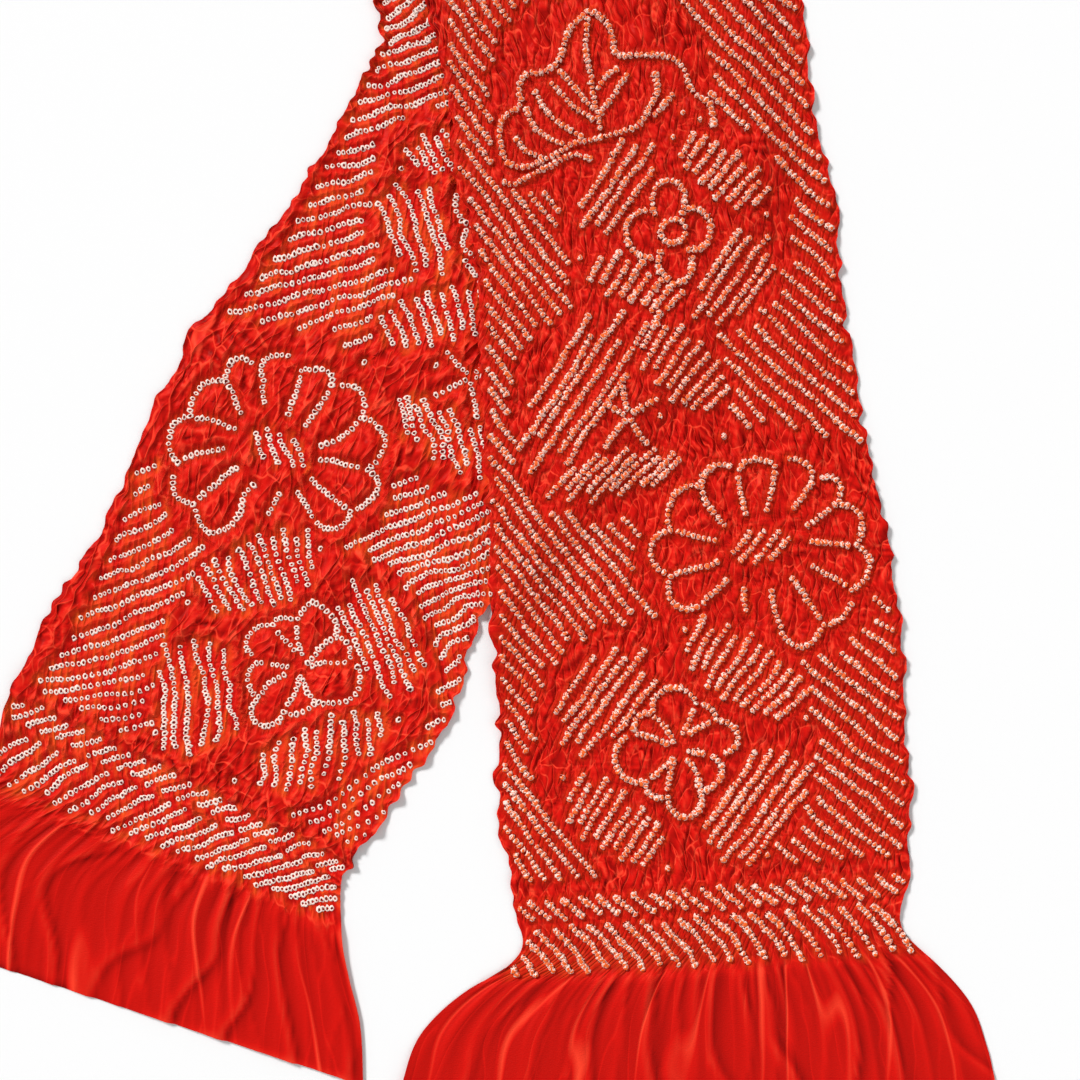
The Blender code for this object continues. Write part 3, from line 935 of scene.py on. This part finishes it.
def new_object(name, points, faces, smooth=True):
    """A mesh object in the scene, at the origin."""
    mesh = bpy.data.meshes.new(name)
    mesh.vertices.add(len(points))
    mesh.vertices.foreach_set("co", np.ascontiguousarray(points, np.float32).ravel())
    sides = faces.shape[1]
    mesh.loops.add(faces.size)
    mesh.loops.foreach_set("vertex_index", np.ascontiguousarray(faces, np.int32).ravel())
    mesh.polygons.add(len(faces))
    mesh.polygons.foreach_set("loop_start", np.arange(0, faces.size, sides, dtype=np.int32))
    mesh.polygons.foreach_set("use_smooth", np.full(len(faces), smooth))
    mesh.update(calc_edges=True)
    mesh.validate()
    obj = bpy.data.objects.new(name, mesh)
    bpy.context.scene.collection.objects.link(obj)
    return obj


def add_attribute(obj, name, values):
    """A number for each vertex, which the materials read."""
    layer = obj.data.attributes.new(name, "FLOAT", "POINT")
    layer.data.foreach_set("value", np.ascontiguousarray(values, np.float32))


def add_uv(obj, name, u, v):
    """Two coordinates in metres for each vertex, as a UV map."""
    layer = obj.data.uv_layers.new(name=name)
    corner = np.empty(len(obj.data.loops), np.int32)
    obj.data.loops.foreach_get("vertex_index", corner)
    flat = np.column_stack([u, v])
    layer.data.foreach_set("uv", np.ascontiguousarray(flat[corner], np.float32).ravel())


def grid_faces(rows, columns):
    """Quads between neighbouring rows and columns of a grid of points."""
    corner = (np.arange(rows - 1)[:, None] * columns + np.arange(columns - 1)[None, :]).ravel()
    return np.column_stack([corner, corner + 1, corner + columns + 1, corner + columns])


def carry(knots_of, side):
    """Knots of one half on the laid cloth: their points, and the direction of the row there."""
    knots = knots_of[side]
    across = side * knots[:, 0] * MILLIMETRE / HALF_TIED_WIDTH
    distance = side * (knots[:, 1] * MILLIMETRE + QUARTER_BEND)
    nudge = 0.0012
    here = cloth_surface(across, distance, knots_of)[0]
    ahead_across = across + side * knots[:, 2] * nudge / HALF_TIED_WIDTH
    ahead = cloth_surface(ahead_across, distance + side * knots[:, 3] * nudge, knots_of)[0]
    way = ahead - here
    way[:, 2] *= ROW_RISE
    return here, way / np.linalg.norm(way, axis=1)[:, None]


def turned_shapes(name, places, ways, profile, top, raggedness, random):
    """One joined mesh of many small turned shapes: rings of points round a middle one.
    Each is pinched along its row and stretched across it, scaled, leaned and tinted a little differently."""
    count = len(places)
    sides = KNOT_SIDES
    turn = 2.0 * np.pi * np.arange(sides) / sides
    rings = np.array(profile)
    local_x = np.concatenate([(rings[:, 0:1] * np.cos(turn)).ravel(), [0.0]])
    local_y = np.concatenate([(rings[:, 0:1] * np.sin(turn)).ravel(), [0.0]])
    local_z = np.concatenate([np.repeat(rings[:, 1], sides), [top[0]]])
    tip = np.concatenate([np.repeat(rings[:, 2], sides), [top[1]]])

    size = random.uniform(*SIZE_RANGE, (count, 1)) * MILLIMETRE
    spin = random.uniform(0.0, 2.0 * np.pi, (count, 1))
    patch = lattice_noise(places[:, 0:1] / PATCH_LENGTH, places[:, 1:2] / PATCH_LENGTH, 91)
    size *= PATCH_SIZES[0] + PATCH_SIZES[1] * patch
    ragged = 1.0 + random.normal(0.0, raggedness, (count, len(local_x)))
    x = (local_x * np.cos(spin) - local_y * np.sin(spin)) * ragged * size * ROW_STRETCH[0]
    y = (local_x * np.sin(spin) + local_y * np.cos(spin)) * ragged * size * ROW_STRETCH[1]
    z = local_z * size * random.uniform(*HEIGHT_RANGE, (count, 1))
    lean = random.normal(0.0, MOST_LEAN, (count, 2))
    x = x + z * lean[:, 0:1]
    y = y + z * lean[:, 1:2]

    along = ways
    over = np.column_stack([-along[:, 1], along[:, 0], np.zeros(count)])
    over /= np.linalg.norm(over, axis=1)[:, None]
    up = np.cross(along, over)
    points = (
        places[:, None, :]
        + x[:, :, None] * along[:, None, :]
        + y[:, :, None] * over[:, None, :]
        + z[:, :, None] * up[:, None, :]
    ).reshape(-1, 3)

    ring = np.arange(sides)
    following = (ring + 1) % sides
    walls = []
    for level in range(len(rings) - 1):
        low = level * sides
        high = low + sides
        walls.append(np.column_stack([low + ring, low + following, high + following]))
        walls.append(np.column_stack([low + ring, high + following, high + ring]))
    last = (len(rings) - 1) * sides
    walls.append(np.column_stack([last + ring, last + following, np.full(sides, last + sides)]))
    one = np.concatenate(walls)
    step = len(local_x)
    faces = (one[None, :, :] + (np.arange(count) * step)[:, None, None]).reshape(-1, 3)
    obj = new_object(name, points, faces)
    # tip: the place on the colour ramp; its low end paints shade at a knot's foot, and for rings its high end
    # paints shade in the hollow
    add_attribute(obj, "tip", np.tile(tip, count))
    add_attribute(obj, "tint", np.repeat(random.random(count), step))
    return obj


def node(tree, kind, **values):
    """A shader node with its settings, its inputs' values, and a link into an input given a socket."""
    made = tree.nodes.new(kind)
    for key, value in values.items():
        if isinstance(value, bpy.types.NodeSocket):
            tree.links.new(value, made.inputs[key])
        elif key in made.inputs:
            made.inputs[key].default_value = value
        else:
            setattr(made, key, value)
    return made


def math_node(tree, operation, first, second=None, clamp=False):
    """A Math node on sockets or numbers."""
    made = tree.nodes.new("ShaderNodeMath")
    made.operation = operation
    made.use_clamp = clamp
    for socket, value in zip(made.inputs, (first, second)):
        if isinstance(value, bpy.types.NodeSocket):
            tree.links.new(value, socket)
        elif value is not None:
            socket.default_value = value
    return made.outputs[0]


def plus(tree, first, second):
    return math_node(tree, "ADD", first, second)


def times(tree, first, second):
    return math_node(tree, "MULTIPLY", first, second)


def less(tree, first, second, clamp=False):
    return math_node(tree, "SUBTRACT", first, second, clamp)


def read_attribute(tree, name):
    return node(tree, "ShaderNodeAttribute", attribute_name=name).outputs["Fac"]


def colour_ramp(tree, value, stops):
    """Colours at shares of a value."""
    stops = tuple(stops)
    made = node(tree, "ShaderNodeValToRGB", Fac=value)
    ramp = made.color_ramp
    while len(ramp.elements) < len(stops):
        ramp.elements.new(0.5)
    for element, (position, colour) in zip(ramp.elements, stops):
        element.position = position
        element.color = (*colour, 1.0)
    return made.outputs["Color"]


def new_material(name, colour, roughness):
    """A material with its Principled shader."""
    material = bpy.data.materials.new(name)
    material.use_nodes = True
    material.diffuse_color = (*colour, 1.0)
    shader = material.node_tree.nodes["Principled BSDF"]
    shader.inputs["Base Color"].default_value = (*colour, 1.0)
    shader.inputs["Roughness"].default_value = roughness
    return material, material.node_tree, shader


def layer_place(tree, layer, uv_map, width, length, lean, noise_scale):
    """The place in one layer of ridges, counted in its own widths and lengths and turned by its lean, a
    noise of that place, and the noise's three parts."""
    laid = node(
        tree,
        "ShaderNodeMapping",
        vector_type="TEXTURE",
        Vector=node(tree, "ShaderNodeUVMap", uv_map=uv_map).outputs["UV"],
        Location=(LAYER_STEPS[0] * layer, LAYER_STEPS[1] * layer, 0.0),
        Rotation=(0.0, 0.0, np.radians(lean)),
        Scale=(width, length, 1.0),
    ).outputs["Vector"]
    noise = node(tree, "ShaderNodeTexNoise", noise_dimensions="2D", Vector=laid, Scale=noise_scale)
    noise.inputs["Detail"].default_value = 1.0
    noise.inputs["Roughness"].default_value = 0.4
    parts = node(tree, "ShaderNodeSeparateColor", Color=noise.outputs["Color"])
    return laid, noise.outputs["Color"], parts.outputs


def fading(tree, noise, limits):
    """0 where the noise is low and 1 where it is high."""
    return less(tree, times(tree, noise, limits[0]), limits[1], True)


def crepe_group():
    """The fine relief of the silk in cloth coordinates. A layer of ridges is a triangle wave of the place
    across it plus a noise, so that they wander and fork, and a second noise fades them here and there. A
    layer of facets rises from the middle of each cell to its sides, where two facets meet in a crease.
    In: Pulls, Pleats, Creases, Tucks and Weave, the heights of the creases square to the knots' rows, the
    close ones on the tied cloth, the open ones, those of the plain ends, and the threads.
    Out: Height, and Highlight_lines, high on the ridges' top lines and along the facets' creases alone, which
    the silk paints as bright highlight lines."""
    name = "crepe and pleats"
    if name in bpy.data.node_groups:
        return bpy.data.node_groups[name]
    tree = bpy.data.node_groups.new(name, "ShaderNodeTree")
    for label in ("Pulls", "Pleats", "Creases", "Tucks", "Weave"):
        tree.interface.new_socket(label, in_out="INPUT", socket_type="NodeSocketFloat")
    for label in ("Height", "Highlight_lines"):
        tree.interface.new_socket(label, in_out="OUTPUT", socket_type="NodeSocketFloat")
    inputs = tree.nodes.new("NodeGroupInput").outputs
    outputs = tree.nodes.new("NodeGroupOutput").inputs
    height = 0.0
    crest_shading = 0.0
    for label, layer, uv_map, spacing, length, lean, wander, strength, sharpness in RIDGE_LAYERS:
        laid, _, parts = layer_place(tree, layer, uv_map, spacing, length, lean, RIDGE_NOISE)
        across = node(tree, "ShaderNodeSeparateXYZ", Vector=laid).outputs["X"]
        phase = plus(tree, across, times(tree, parts["Red"], wander))
        ridge = times(tree, math_node(tree, "PINGPONG", phase, 0.5), 2.0)
        wanted = times(tree, fading(tree, parts["Green"], RIDGE_FADING), times(tree, inputs[label], strength))
        height = plus(tree, times(tree, math_node(tree, "POWER", ridge, sharpness), wanted), height)
        # The ridge's top line, painted as a highlight
        line = times(tree, less(tree, ridge, LINE_START, True), 1.0 / (1.0 - LINE_START))
        crest_shading = math_node(tree, "MAXIMUM", times(tree, line, wanted), crest_shading)
    for label, layer, uv_map, width, length, lean, bend, strength, line_share in FACET_LAYERS:
        laid, noise, parts = layer_place(tree, layer, uv_map, width, length, lean, FACET_NOISE)
        bent = node(tree, "ShaderNodeVectorMath", operation="MULTIPLY_ADD")
        tree.links.new(noise, bent.inputs[0])
        bent.inputs[1].default_value = (bend, bend, 0.0)
        tree.links.new(laid, bent.inputs[2])
        from_middle, from_side = (
            node(
                tree,
                "ShaderNodeTexVoronoi",
                voronoi_dimensions="2D",
                feature=feature,
                Vector=bent.outputs["Vector"],
                Scale=1.0,
            ).outputs["Distance"]
            for feature in ("F1", "DISTANCE_TO_EDGE")
        )
        wanted = times(tree, inputs[label], strength)
        height = plus(tree, times(tree, from_middle, wanted), height)
        # The crease between two facets, painted as a highlight line
        line = less(tree, 1.0, math_node(tree, "DIVIDE", from_side, line_share), True)
        line = times(tree, line, times(tree, fading(tree, parts["Blue"], FACET_FADING), wanted))
        crest_shading = math_node(tree, "MAXIMUM", line, crest_shading)
    cloth = node(tree, "ShaderNodeUVMap", uv_map="cloth").outputs["UV"]
    threads = node(tree, "ShaderNodeMapping", Vector=cloth, Scale=THREADS_PER_METRE).outputs["Vector"]
    weave = node(tree, "ShaderNodeTexNoise", Vector=threads, Scale=1.0, Detail=2.0, Roughness=0.6)
    weave_height = times(tree, weave.outputs["Fac"], inputs["Weave"])
    tree.links.new(plus(tree, height, weave_height), outputs["Height"])
    tree.links.new(crest_shading, outputs["Highlight_lines"])
    return tree


def silk_material(colours):
    """Crimson silk with painted shade in its folds and painted highlights on its crests and on the fine
    ridges' top lines, and thinly dyed in streaks round the knots."""
    material, tree, shader = new_material(SILK_SLOT, tuple(colours.silk_colour), SILK_ROUGHNESS)
    shader.inputs["Specular IOR Level"].default_value = SILK_SHEEN
    shader.inputs["Specular Tint"].default_value = SHEEN_TINT
    plain = read_attribute(tree, "plain")
    openness = read_attribute(tree, "open")
    close = times(tree, less(tree, 1.0, plain), less(tree, 1.0, openness))
    crepe = node(
        tree,
        "ShaderNodeGroup",
        node_tree=crepe_group(),
        Pulls=times(tree, read_attribute(tree, "beside"), PULL_SHARE),
        Pleats=times(tree, close, PLEAT_SHARE),
        Creases=openness,
        Tucks=times(tree, plain, TUCK_SHARE),
        Weave=plus(tree, times(tree, plain, PLAIN_GRAIN), GRAIN),
    ).outputs
    bump = node(tree, "ShaderNodeBump", Strength=BUMP_STRENGTH, Distance=BUMP_DEPTH, Height=crepe["Height"])
    tree.links.new(bump.outputs["Normal"], shader.inputs["Normal"])

    # Painted highlight and painted shade: the colour runs from the deep red in the relief's hollows up to the
    # bright red on its tops and on the fine ridges' top lines, standing in for light and shade
    level = plus(tree, times(tree, read_attribute(tree, "crest_shading"), CREST_SHADING), BASE_BRIGHTNESS)
    shade = plus(tree, level, times(tree, crepe["Highlight_lines"], LINE_HIGHLIGHT))
    shades = (tuple(colours.painted_shade_colour), tuple(colours.silk_colour), tuple(colours.painted_highlight_colour))
    streaks = plus(tree, times(tree, crepe["Height"], STREAKS[0]), STREAKS[1])
    halo = math_node(tree, "MULTIPLY", read_attribute(tree, "halo"), streaks, True)
    dyed = tree.nodes.new("ShaderNodeMix")
    dyed.data_type = "RGBA"
    tree.links.new(halo, dyed.inputs["Factor"])
    tree.links.new(colour_ramp(tree, shade, zip(RAMP_SHARES, shades)), dyed.inputs["A"])
    dyed.inputs["B"].default_value = (*colours.halo_colour, 1.0)
    tree.links.new(dyed.outputs["Result"], shader.inputs["Base Color"])
    return material


def knot_material(name, stops, unevenness, roughness):
    """Undyed silk with its colours running from the foot of a knot to its tip, uneven from knot to knot. The
    stops given paint shade at a knot's foot and in a ring's hollow.
    """
    material, tree, shader = new_material(name, stops[1][1], roughness)
    shader.inputs["Specular IOR Level"].default_value = KNOT_SHEEN
    place = tree.nodes.new("ShaderNodeTexCoord").outputs["Object"]
    noise = node(tree, "ShaderNodeTexNoise", Vector=place, Scale=KNOT_NOISE, Detail=1.0, Roughness=0.5)
    uneven = times(tree, less(tree, noise.outputs["Fac"], 0.5), unevenness)
    shift = times(tree, less(tree, read_attribute(tree, "tint"), 0.5), TINT_SHIFT)
    level = plus(tree, plus(tree, read_attribute(tree, "tip"), uneven), shift)
    tree.links.new(colour_ramp(tree, level, stops), shader.inputs["Base Color"])
    return material


def colour_property(name, description, default):
    """A colour that the panel shows."""
    return bpy.props.FloatVectorProperty(
        name=name, description=description, size=3, default=default, subtype="COLOR"
    )


class ObiageSizes(bpy.types.PropertyGroup):
    """Sizes that a user would change."""

    knot_size: bpy.props.FloatProperty(
        name="Knot size", description="Scale of each knot and ring", default=1.0, min=0.5, max=2.0
    )
    view_height: bpy.props.FloatProperty(
        name="Camera height",
        description="Height of the camera above the cloth",
        default=0.75,
        unit="LENGTH",
    )


class ObiageColours(bpy.types.PropertyGroup):
    """Colours of the silk, its knots and the floor, with the silk's painted shade and painted highlight."""

    silk_colour: colour_property("Silk", "The dyed silk", (0.70, 0.008, 0.005))
    # Painted shade: this dark red is painted where shade falls, in the silk's hollows, at each knot's foot
    # and in each ring's hollow middle
    painted_shade_colour: colour_property("Deep folds", "The silk down in its folds", (0.13, 0.001, 0.001))
    # Painted highlight: this bright red is painted on the relief's tops and on the fine ridges' top lines,
    # where light would glint
    painted_highlight_colour: colour_property("Crests", "The silk on its crests", (1.0, 0.060, 0.026))
    halo_colour: colour_property("Halo", "The thinner dye round each knot", (1.0, 0.13, 0.018))
    undyed_colour: colour_property("Undyed", "Silk that the ties kept from the dye", (1.0, 0.80, 0.71))
    tip_colour: colour_property("Knot tip", "The orange tips of the knots", (0.92, 0.135, 0.014))
    floor_colour: colour_property("Floor", "The pale surface underneath", (0.95, 0.95, 0.95))


def put_silk(obj, material):
    """The piece gets its material and is parented to the root body's empty, so that it rides with the cloth.
    """
    obj.data.materials.append(material)
    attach(obj, "root")


def add_shapes(kind, places, ways, profile, top, raggedness, random, material):
    """The knots or rings, in joined meshes of no more than a set number each."""
    parts = max(1, -(-len(places) // MOST_KNOTS_IN_A_PIECE))
    sized = np.array(profile) * (bpy.context.scene.obiage_sizes.knot_size, 1.0, 1.0)
    for number, part in enumerate(np.array_split(np.arange(len(places)), parts)):
        name = f"{kind}_{number + 1}"
        put_silk(turned_shapes(name, places[part], ways[part], sized, top, raggedness, random), material)


class OBIAGE_OT_silk(bpy.types.Operator):
    """The whole silk as one sheet, on the folds of the solid."""

    bl_idname = "obiage.silk"
    bl_label = "Silk"

    def execute(self, context):
        colours = context.scene.obiage_colours
        knots_of = {side: tied_knots(side) for side in (1, -1)}
        distances = row_distances()
        line = np.linspace(-1.0, 1.0, COLUMNS + 1)
        across, distance = (grid.ravel() for grid in np.meshgrid(line, distances))
        points, marks = cloth_surface(across, distance, knots_of)
        faces = grid_faces(len(distances), len(line))
        silk = new_object("silk", points, faces)
        relief = marks["relief"].reshape(len(distances), len(line))
        # The relief's tops and hollows, which the silk's colour paints as highlight and shade
        add_attribute(silk, "crest_shading", crest_of(relief).ravel())
        for name in ("open", "plain", "beside", "halo"):
            add_attribute(silk, name, marks[name])
        broader = 1.0 - LOWER_BROADENING * smooth_step(-distance, 0.0, HIDDEN_ZONE)
        add_uv(silk, "cloth", across * HALF_TIED_WIDTH * broader, distance * broader)
        add_uv(silk, "row", marks["along"] * MILLIMETRE, marks["off"] * MILLIMETRE)
        put_silk(silk, silk_material(colours))
        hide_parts(CLOTH_NODE)
        return {"FINISHED"}


class OBIAGE_OT_knots(bpy.types.Operator):
    """The raised knots on the face of the upper half."""

    bl_idname = "obiage.knots"
    bl_label = "Knots"

    def execute(self, context):
        colours = context.scene.obiage_colours
        undyed = tuple(colours.undyed_colour)
        tip = tuple(colours.tip_colour)
        painted_shade = tuple(colours.painted_shade_colour)
        # Painted shade at each knot's foot (the deep red), then the orange tip colour, the undyed silk and
        # orange again on top
        stops = ((0.06, painted_shade), (0.16, tip), (0.31, undyed), (0.54, undyed), (0.63, tip))
        material = knot_material("knot_tips", stops, 2.3, 0.55)
        places, ways = carry({1: tied_knots(1)}, 1)
        random = np.random.default_rng(SEED + 1)
        add_shapes("knots", places, ways, KNOT_PROFILE, KNOT_TOP, KNOT_RAGGEDNESS, random, material)
        return {"FINISHED"}


class OBIAGE_OT_rings(bpy.types.Operator):
    """The pale hollow rings on the back of the lower half, where the upper half leaves it open."""

    bl_idname = "obiage.rings"
    bl_label = "Rings"

    def execute(self, context):
        colours = context.scene.obiage_colours
        undyed = tuple(colours.undyed_colour)
        silk = tuple(colours.silk_colour)
        painted_shade = tuple(colours.painted_shade_colour)
        # From the silk at the foot to the undyed ring, with painted shade (the deep red) in the ring's hollow
        # middle
        stops = ((0.02, silk), (0.18, undyed), (0.60, undyed), (0.72, painted_shade))
        material = knot_material("ring_backs", stops, 0.5, 0.6)
        places, ways = carry({-1: tied_knots(-1)}, -1)
        shown = past_edge(places[:, 0:2] - np.array(FOLD_TO_CENTRE), UPPER_HALF, 0) < 0.002
        random = np.random.default_rng(SEED + 2)
        add_shapes(
            "rings", places[shown], ways[shown], RING_PROFILE, RING_TOP, RING_RAGGEDNESS, random, material
        )
        return {"FINISHED"}


class OBIAGE_OT_declare(bpy.types.Operator):
    """Makes no change to the scene."""

    bl_idname = "obiage.declare"
    bl_label = "Declare the cloth"

    def execute(self, context):
        return {"FINISHED"}


class OBIAGE_OT_stage(bpy.types.Operator):
    """A pale floor, soft light and the camera straight above."""

    bl_idname = "obiage.stage"
    bl_label = "Stage"

    def execute(self, context):
        colours = context.scene.obiage_colours
        sizes = context.scene.obiage_sizes
        corners = FLOOR_REACH * np.array([[-1, -1, 0], [1, -1, 0], [1, 1, 0], [-1, 1, 0]])
        floor = new_object("floor", corners, np.array([[0, 1, 2, 3]]), smooth=False)
        material, _, _ = new_material("floor", tuple(colours.floor_colour), 0.9)
        floor.data.materials.append(material)
        for name, height, turn, width, strength in SUNS:
            light = bpy.data.lights.new(name, "SUN")
            light.angle = np.radians(width)
            light.energy = strength
            lamp = bpy.data.objects.new(name, light)
            lamp.rotation_euler = np.radians((0.0, 90.0 - height, turn))
            lamp.location = (0.0, 0.0, 1.0)
            context.scene.collection.objects.link(lamp)
        world = bpy.data.worlds.new("studio")
        world.use_nodes = True
        world.node_tree.nodes["Background"].inputs["Color"].default_value = (1.0, 1.0, 1.0, 1.0)
        world.node_tree.nodes["Background"].inputs["Strength"].default_value = SKY_STRENGTH
        context.scene.world = world
        context.scene.view_settings.view_transform = "Standard"
        camera = bpy.data.objects.new("camera", bpy.data.cameras.new("camera"))
        camera.data.lens = LENS_MM
        camera.data.sensor_width = 36.0
        camera.location = (
            (LAYOUT_CORNER[0] + VIEW_MIDDLE[0]) * MILLIMETRE + FOLD_TO_CENTRE[0],
            (LAYOUT_CORNER[1] - VIEW_MIDDLE[1]) * MILLIMETRE + FOLD_TO_CENTRE[1],
            sizes.view_height,
        )
        context.scene.collection.objects.link(camera)
        context.scene.camera = camera
        return {"FINISHED"}


class OBIAGE_PT_panel(bpy.types.Panel):
    """The steps in order, with the sizes and colours."""

    bl_idname = "OBIAGE_PT_panel"
    bl_label = "Obiage"
    bl_space_type = "VIEW_3D"
    bl_region_type = "UI"
    bl_category = "Obiage"

    def draw(self, context):
        for settings in (context.scene.obiage_sizes, context.scene.obiage_colours):
            for name in settings.__annotations__:
                self.layout.prop(settings, name)
        for operator in OPERATORS:
            self.layout.operator(operator.bl_idname)


OPERATORS = (
    OBIAGE_OT_silk,
    OBIAGE_OT_knots,
    OBIAGE_OT_rings,
    OBIAGE_OT_declare,
    OBIAGE_OT_stage,
)
CLASSES = (ObiageSizes, ObiageColours, *OPERATORS, OBIAGE_PT_panel)


def register():
    for item in CLASSES:
        bpy.utils.register_class(item)
    bpy.types.Scene.obiage_sizes = bpy.props.PointerProperty(type=ObiageSizes)
    bpy.types.Scene.obiage_colours = bpy.props.PointerProperty(type=ObiageColours)


def unregister():
    del bpy.types.Scene.obiage_colours
    del bpy.types.Scene.obiage_sizes
    for item in reversed(CLASSES):
        bpy.utils.unregister_class(item)


def main():
    register()
    bpy.ops.obiage.silk()
    bpy.ops.obiage.knots()
    bpy.ops.obiage.rings()
    bpy.ops.obiage.declare()
    bpy.ops.obiage.stage()


if __name__ == "__main__":
    main()
